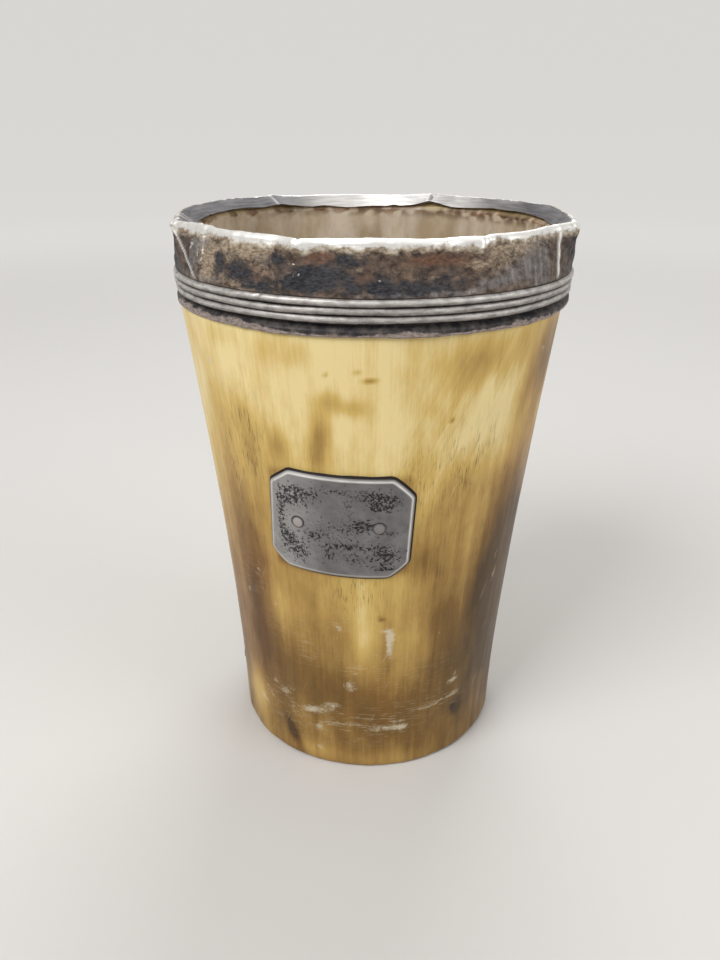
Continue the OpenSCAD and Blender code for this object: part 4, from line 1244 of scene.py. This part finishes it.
def collar_wear(tree, place, lip, ridge, hem, deep, tab, shine, black, copper, grime, grey, bare):
    """A brown film all over the band, then copper red, black, yellow and grey patches, and
    flecks of bare metal. Lip, hem and tabs are free of them and have films of their own."""
    blotch = spots(tree, place, 2.8, 1.9, 7.0, 0.68, 0.3)
    patchy = spots(tree, place, 1.7, 1.1, 6.0, 0.68, 0.1)
    fine = spots(tree, place, 0.9, 0.35, 4.0, 0.62)
    drawn = spots(tree, place, 6.0, 0.28, 4.0)
    upright = spots(tree, place, 0.8, 5.0, 4.0)
    edge = add(tree, "MapRange", add(tree, "Math", patchy, 0.6, lip, operation="MULTIPLY_ADD"), 0.36, 0.78)
    edge = add(tree, "Math", edge, add(tree, "MapRange", lip, 0.0, 0.1), operation="MULTIPLY")
    lip = add(tree, "MapRange", add(tree, "Math", patchy, 1.2, lip, operation="MULTIPLY_ADD"), 1.12, 1.46)
    free = without(tree, 1.0, lip, hem, tab, deep)
    brown = between(tree, patchy, 0.38, 0.66, "#352a24", "#7b6859")
    films = [(add(tree, "Math", free, 0.97, operation="MULTIPLY"), brown)]
    patches = ((patchy, copper, 0.66, 0.92, "#50372b", "#7a5644"),
               (patchy, grime, 0.62, 0.92, "#6e5e4e", "#ad9c86"),
               (blotch, black, 0.60, 0.80, "#201f22", "#434246"))
    for noise, field, low, high, dark, pale in patches:
        share = add(tree, "Math", ragged(tree, noise, field, low, high), free, operation="MULTIPLY")
        films.append((share, between(tree, fine, 0.36, 0.62, dark, pale)))
    # The grey film is brushed metal and, at the places given for it, a painted sheen.
    share = ragged(tree, patchy, grey, 0.62, 1.02)
    films.append((add(tree, "Math", share, free, operation="MULTIPLY"),
                  between(tree, upright, 0.30, 0.70, "#5b5755", "#9a9696")))
    cream = without(tree, edge, lip, tab, deep)
    worn_hem = ragged(tree, patchy, hem, 0.70, 0.86)
    # Of these films, the deep one is dark tarnish and, on the hem rows, a painted contact shadow. The last
    # one paints the tabs a darker grey, as painted shade, under their painted highlights.
    films += [(cream, between(tree, patchy, 0.40, 0.62, "#86745f", "#d0c6b4")),
              (deep, between(tree, patchy, 0.4, 0.65, "#2c2a2d", "#5c5653")),
              (worn_hem, between(tree, fine, 0.35, 0.62, "#6d625e", "#a3968f")),
              (without(tree, tab, lip), between(tree, drawn, 0.34, 0.66, "#424144", "#716f71"))]
    # Flecks of bare metal, with painted highlights where the field places them.
    flecks = ragged(tree, fine, bare, 0.76, 1.06)
    bright_metal = add(tree, "Math", flecks, free, operation="MULTIPLY")
    # On the tabs, streaks of bright metal are a painted highlight, as strong as the tab highlight field.
    streak = add(tree, "MapRange", drawn, 0.3, 0.6, 0.68, 0.95)
    shown = add(tree, "Math", shine, tab, operation="MULTIPLY")
    shown = add(tree, "Math", shown, streak, operation="MULTIPLY")
    # The lip is rubbed bare. The ridges and the tab streaks are painted highlights.
    for share in (lip, ridge, shown):
        bright_metal = add(tree, "Math", bright_metal, share, operation="MAXIMUM")
    return films, bright_metal, patchy


def reed_wear(tree, place, crest, top):
    """Grey reeds painted with a highlight on each crest's upper side and shade below it, and black
    lines between them that are tarnish and painted shade; the top reed is lighter.
    """
    fine = spots(tree, place, 2.4, 0.8, 6.0, 0.65)
    slow = spots(tree, place, 9.0, 9.0, 3.0)
    level = add(tree, "Math", fine, 0.55, crest, operation="MULTIPLY_ADD")
    # The black is tarnish in the grooves and painted shade on the reeds' lower sides. Where the level is
    # high, the crest gets a painted highlight.
    dark = add(tree, "MapRange", level, 0.64, 0.98, 1.0, 0.0)
    film = add(tree, "MapRange", slow, 0.40, 0.65, 0.62, 0.92)
    film = add(tree, "Math", top, -0.12, film, operation="MULTIPLY_ADD", use_clamp=True)
    level = add(tree, "Math", top, 0.04, level, operation="MULTIPLY_ADD")
    bright_metal = add(tree, "MapRange", level, 1.12, 1.44, 0.0, 0.60)
    films = [(film, between(tree, fine, 0.35, 0.62, "#6c6664", "#9a938e")), (dark, paint("#1b191b"))]
    return films, bright_metal, fine


def plate_wear(tree, place, pits, bevel, rub, dirt_and_edge_shadow):
    """Black pits in clusters, dirt round the rivets, dirt and a painted contact shadow along the
    edge, and a painted highlight along the bevel's crest with a painted sheen on the left.
    """
    coarse = spots(tree, place, 0.66, 0.48, 4.0, 0.70)
    fine = spots(tree, place, 0.35, 0.3, 3.0)
    slow = spots(tree, place, 3.5, 3.5, 4.0)
    brushed = spots(tree, place, 4.0, 0.25, 3.0)
    level = add(tree, "Math", coarse, 0.75, operation="MULTIPLY")
    level = add(tree, "Math", fine, 0.30, level, operation="MULTIPLY_ADD")
    level = add(tree, "Math", pits, 0.155, level, operation="MULTIPLY_ADD")
    dark = add(tree, "MapRange", level, 0.638, 0.705, 0.0, 0.92)
    dark = without(tree, dark, bevel)
    grey = add(tree, "MapRange", slow, 0.35, 0.65, 0.60, 0.92)
    half_bevel = add(tree, "Math", bevel, 0.5, operation="MULTIPLY")
    grey = without(tree, grey, half_bevel)
    # Bright metal only where the rub field paints a highlight or sheen.
    bright_metal = add(tree, "MapRange", slow, 0.3, 0.7, 0.6, 1.0)
    bright_metal = without(tree, add(tree, "Math", bright_metal, rub, operation="MULTIPLY", use_clamp=True), dark)
    films = [(grey, between(tree, brushed, 0.35, 0.65, "#5c5a5c", "#7b797a")), (dark, paint("#1c1a1c")),
             (dirt_and_edge_shadow, paint("#1f1715"))]
    return films, without(tree, bright_metal, dirt_and_edge_shadow), fine


def rivet_wear(tree, place, groove):
    """A rubbed head in a ring of dirt."""
    dark = add(tree, "MapRange", groove, 0.15, 0.8)
    fine = spots(tree, place, 0.6, 0.6)
    films = [(0.85, between(tree, fine, 0.4, 0.6, "#8d8584", "#aca3a1")), (dark, paint("#1f1d20"))]
    return films, 0.1, fine


COLLAR_WORN = ("lip", "ridge", "hem", "deep", "tab", "shine", *COLLAR_MARKS)
tarnished = silver_finish("tarnished_silver_sheet", collar_wear, "#a39e99", COLLAR_WORN)
dress(collar, tarnished, "silver_sheet", "rim_band")
worn_strip = silver_finish("worn_silver_strip", reed_wear, "#aaa49f", ("crest", "top"))
dress(reeds, worn_strip, "silver_moulding", "reed_moulding")
pitted_plate = silver_finish("pitted_silver_plate", plate_wear, "#918f90",
                             ("pits", "bevel", "rub", "dirt_and_edge_shadow"), 0.36, "local")
dress(plate, pitted_plate, "plate_silver", "front_plate")
rubbed_rivet = silver_finish("rubbed_silver_rivet", rivet_wear, "#aaa6a2", ("groove",))
dress(rivets, rubbed_rivet, "rivet_silver", "plate_rivets")

# %% [markdown]
# ## Pegs and pitch
#
# The pegs are end-grain horn: the fibres point outwards, so the ends soak up dirt and are
# nearly black, dull and finely dotted. Pitch is a brown-black resin. It was poured hot, so
# it is smooth and a little glossy, with dust on it.

# %% Finish the pegs and the pitch


def dark_finish(name, low, high, grain_mm, gloss):
    """Two dark colours mixed by spots of grain_mm, with a slight relief. The pegs' end grain
    and the pitch differ only in these values."""
    material, tree, shader = finish(name, Roughness=gloss)
    place = add(tree, "TexCoord", out="Object")
    dots = spots(tree, place, grain_mm, grain_mm, 4.0)
    colour = add(tree, "ValToRGB", dots, stops=[(0.3, paint(low)), (0.75, paint(high))])
    height = add(tree, "Bump", 0.5, 0.04 * MM, None, dots)
    plug(tree, shader, Base_Color=colour, Normal=height)
    return material


dress(pegs, dark_finish("trimmed_horn_peg", "#241b15", "#4c3a28", 0.25, 0.6), "peg_horn", "base_pegs")
dress(pitch, dark_finish("poured_pitch", "#1c130d", "#4a3322", 1.5, 0.35), "pitch", "pitch_bed")

# %% [markdown]
# ## Floor and light
#
# The cup stands in a wide pale bowl of paper, so no horizon shows from any side. Far from
# the cup the paper glows, but only for the camera and in reflections. The light is soft: a
# large panel from the upper left in front, weaker ones from the right and from behind, and
# the white of the room all round, which polished metal mirrors. The room is white to the
# camera and to reflections, and weaker as a light, so pale surfaces don't wash out.

# %% Make the floor and the light
FLOOR_FLAT = 1.0
BEND_R = 0.6
WALL_TOP = 1.6


def bowl_outline():
    """Radius and height of the bowl: flat, then a quarter circle, then straight up."""
    flat = np.linspace(0, FLOOR_FLAT, 21)
    bend = np.linspace(0, np.pi / 2, 25)[1:]
    radius = np.concatenate([flat, FLOOR_FLAT + BEND_R * np.sin(bend), [FLOOR_FLAT + BEND_R]])
    height = np.concatenate([0 * flat, BEND_R * (1 - np.cos(bend)), [WALL_TOP]])
    return radius[:, None], height[:, None]


def seen_directly(tree):
    """1 for rays from the camera and for rays that a mirror or glass sends on, else 0."""
    path = add(tree, "LightPath", out="Is Camera Ray")
    rays = path.node.outputs
    mirrored = add(tree, "Math", rays["Is Glossy Ray"], rays["Is Transmission Ray"], operation="MAXIMUM")
    return add(tree, "Math", mirrored, path, operation="MAXIMUM")


bowl_r, bowl_z = bowl_outline()
bowl_around = np.linspace(-np.pi, np.pi, 96, endpoint=False)[None, :]
far = ease(np.broadcast_to(bowl_r, (len(bowl_r), bowl_around.size)), 0.15, 0.9)
floor = solid("floor", turn(bowl_around, bowl_r, bowl_z) / MM,
              grid_faces(len(bowl_r), bowl_around.size, close_rows=False), {"far": far}, weld=True)
paper, paper_tree, paper_shader = finish("pale_paper", Roughness=0.9, Emission_Color=paint("#d6d4d1"))
far_away = add(paper_tree, "Attribute", out="Fac", attribute_name="far")
glow = add(paper_tree, "Math", far_away, seen_directly(paper_tree), operation="MULTIPLY")
lit = add(paper_tree, "Mix", glow, paint("#d9d7d4"), paint("#000000"), data_type="RGBA")
plug(paper_tree, paper_shader, Base_Color=lit, Emission_Strength=glow)
floor.data.materials.append(paper)


LIT_PLACE = np.array([0, 0, 0.06])


def panel(name, place, size, watts):
    """A square soft light of size metres that looks at the middle of the cup."""
    light = bpy.data.lights.new(name, "AREA")
    light.size = size
    light.energy = watts
    made = bpy.data.objects.new(name, light)
    away = np.array(place) - LIT_PLACE
    away = away / np.linalg.norm(away)
    across = np.cross([0, 0, 1.0], away)
    across = across / np.linalg.norm(across)
    axes = np.column_stack([across, np.cross(away, across), away])
    made.matrix_world = Matrix.Translation(place) @ Matrix(axes.tolist()).to_4x4()
    bpy.context.scene.collection.objects.link(made)


panel("key_panel", (-0.45, -0.45, 0.70), 0.45, 5.0)
panel("fill_panel", (0.75, -0.35, 0.45), 0.50, 2.2)
panel("back_panel", (0.10, 0.50, 0.75), 0.40, 2.6)

ROOM_LIGHT = 0.45
room = bpy.data.worlds.new("room")
room.use_nodes = True
room_tree = room.node_tree
strength = add(room_tree, "MapRange", seen_directly(room_tree), 0.0, 1.0, ROOM_LIGHT, 1.0)
room_shader = room_tree.nodes["Background"]
room_shader.inputs["Color"].default_value = paint("#ffffff")
room_tree.links.new(strength, room_shader.inputs["Strength"])
bpy.context.scene.world = room
bpy.context.scene.view_settings.view_transform = "Standard"
print("floor, three panels and the room are in place")

# %% [markdown]
# ## Finish
#
# Last, the scene is brought up to date.

# %% Finish
bpy.context.view_layer.update()
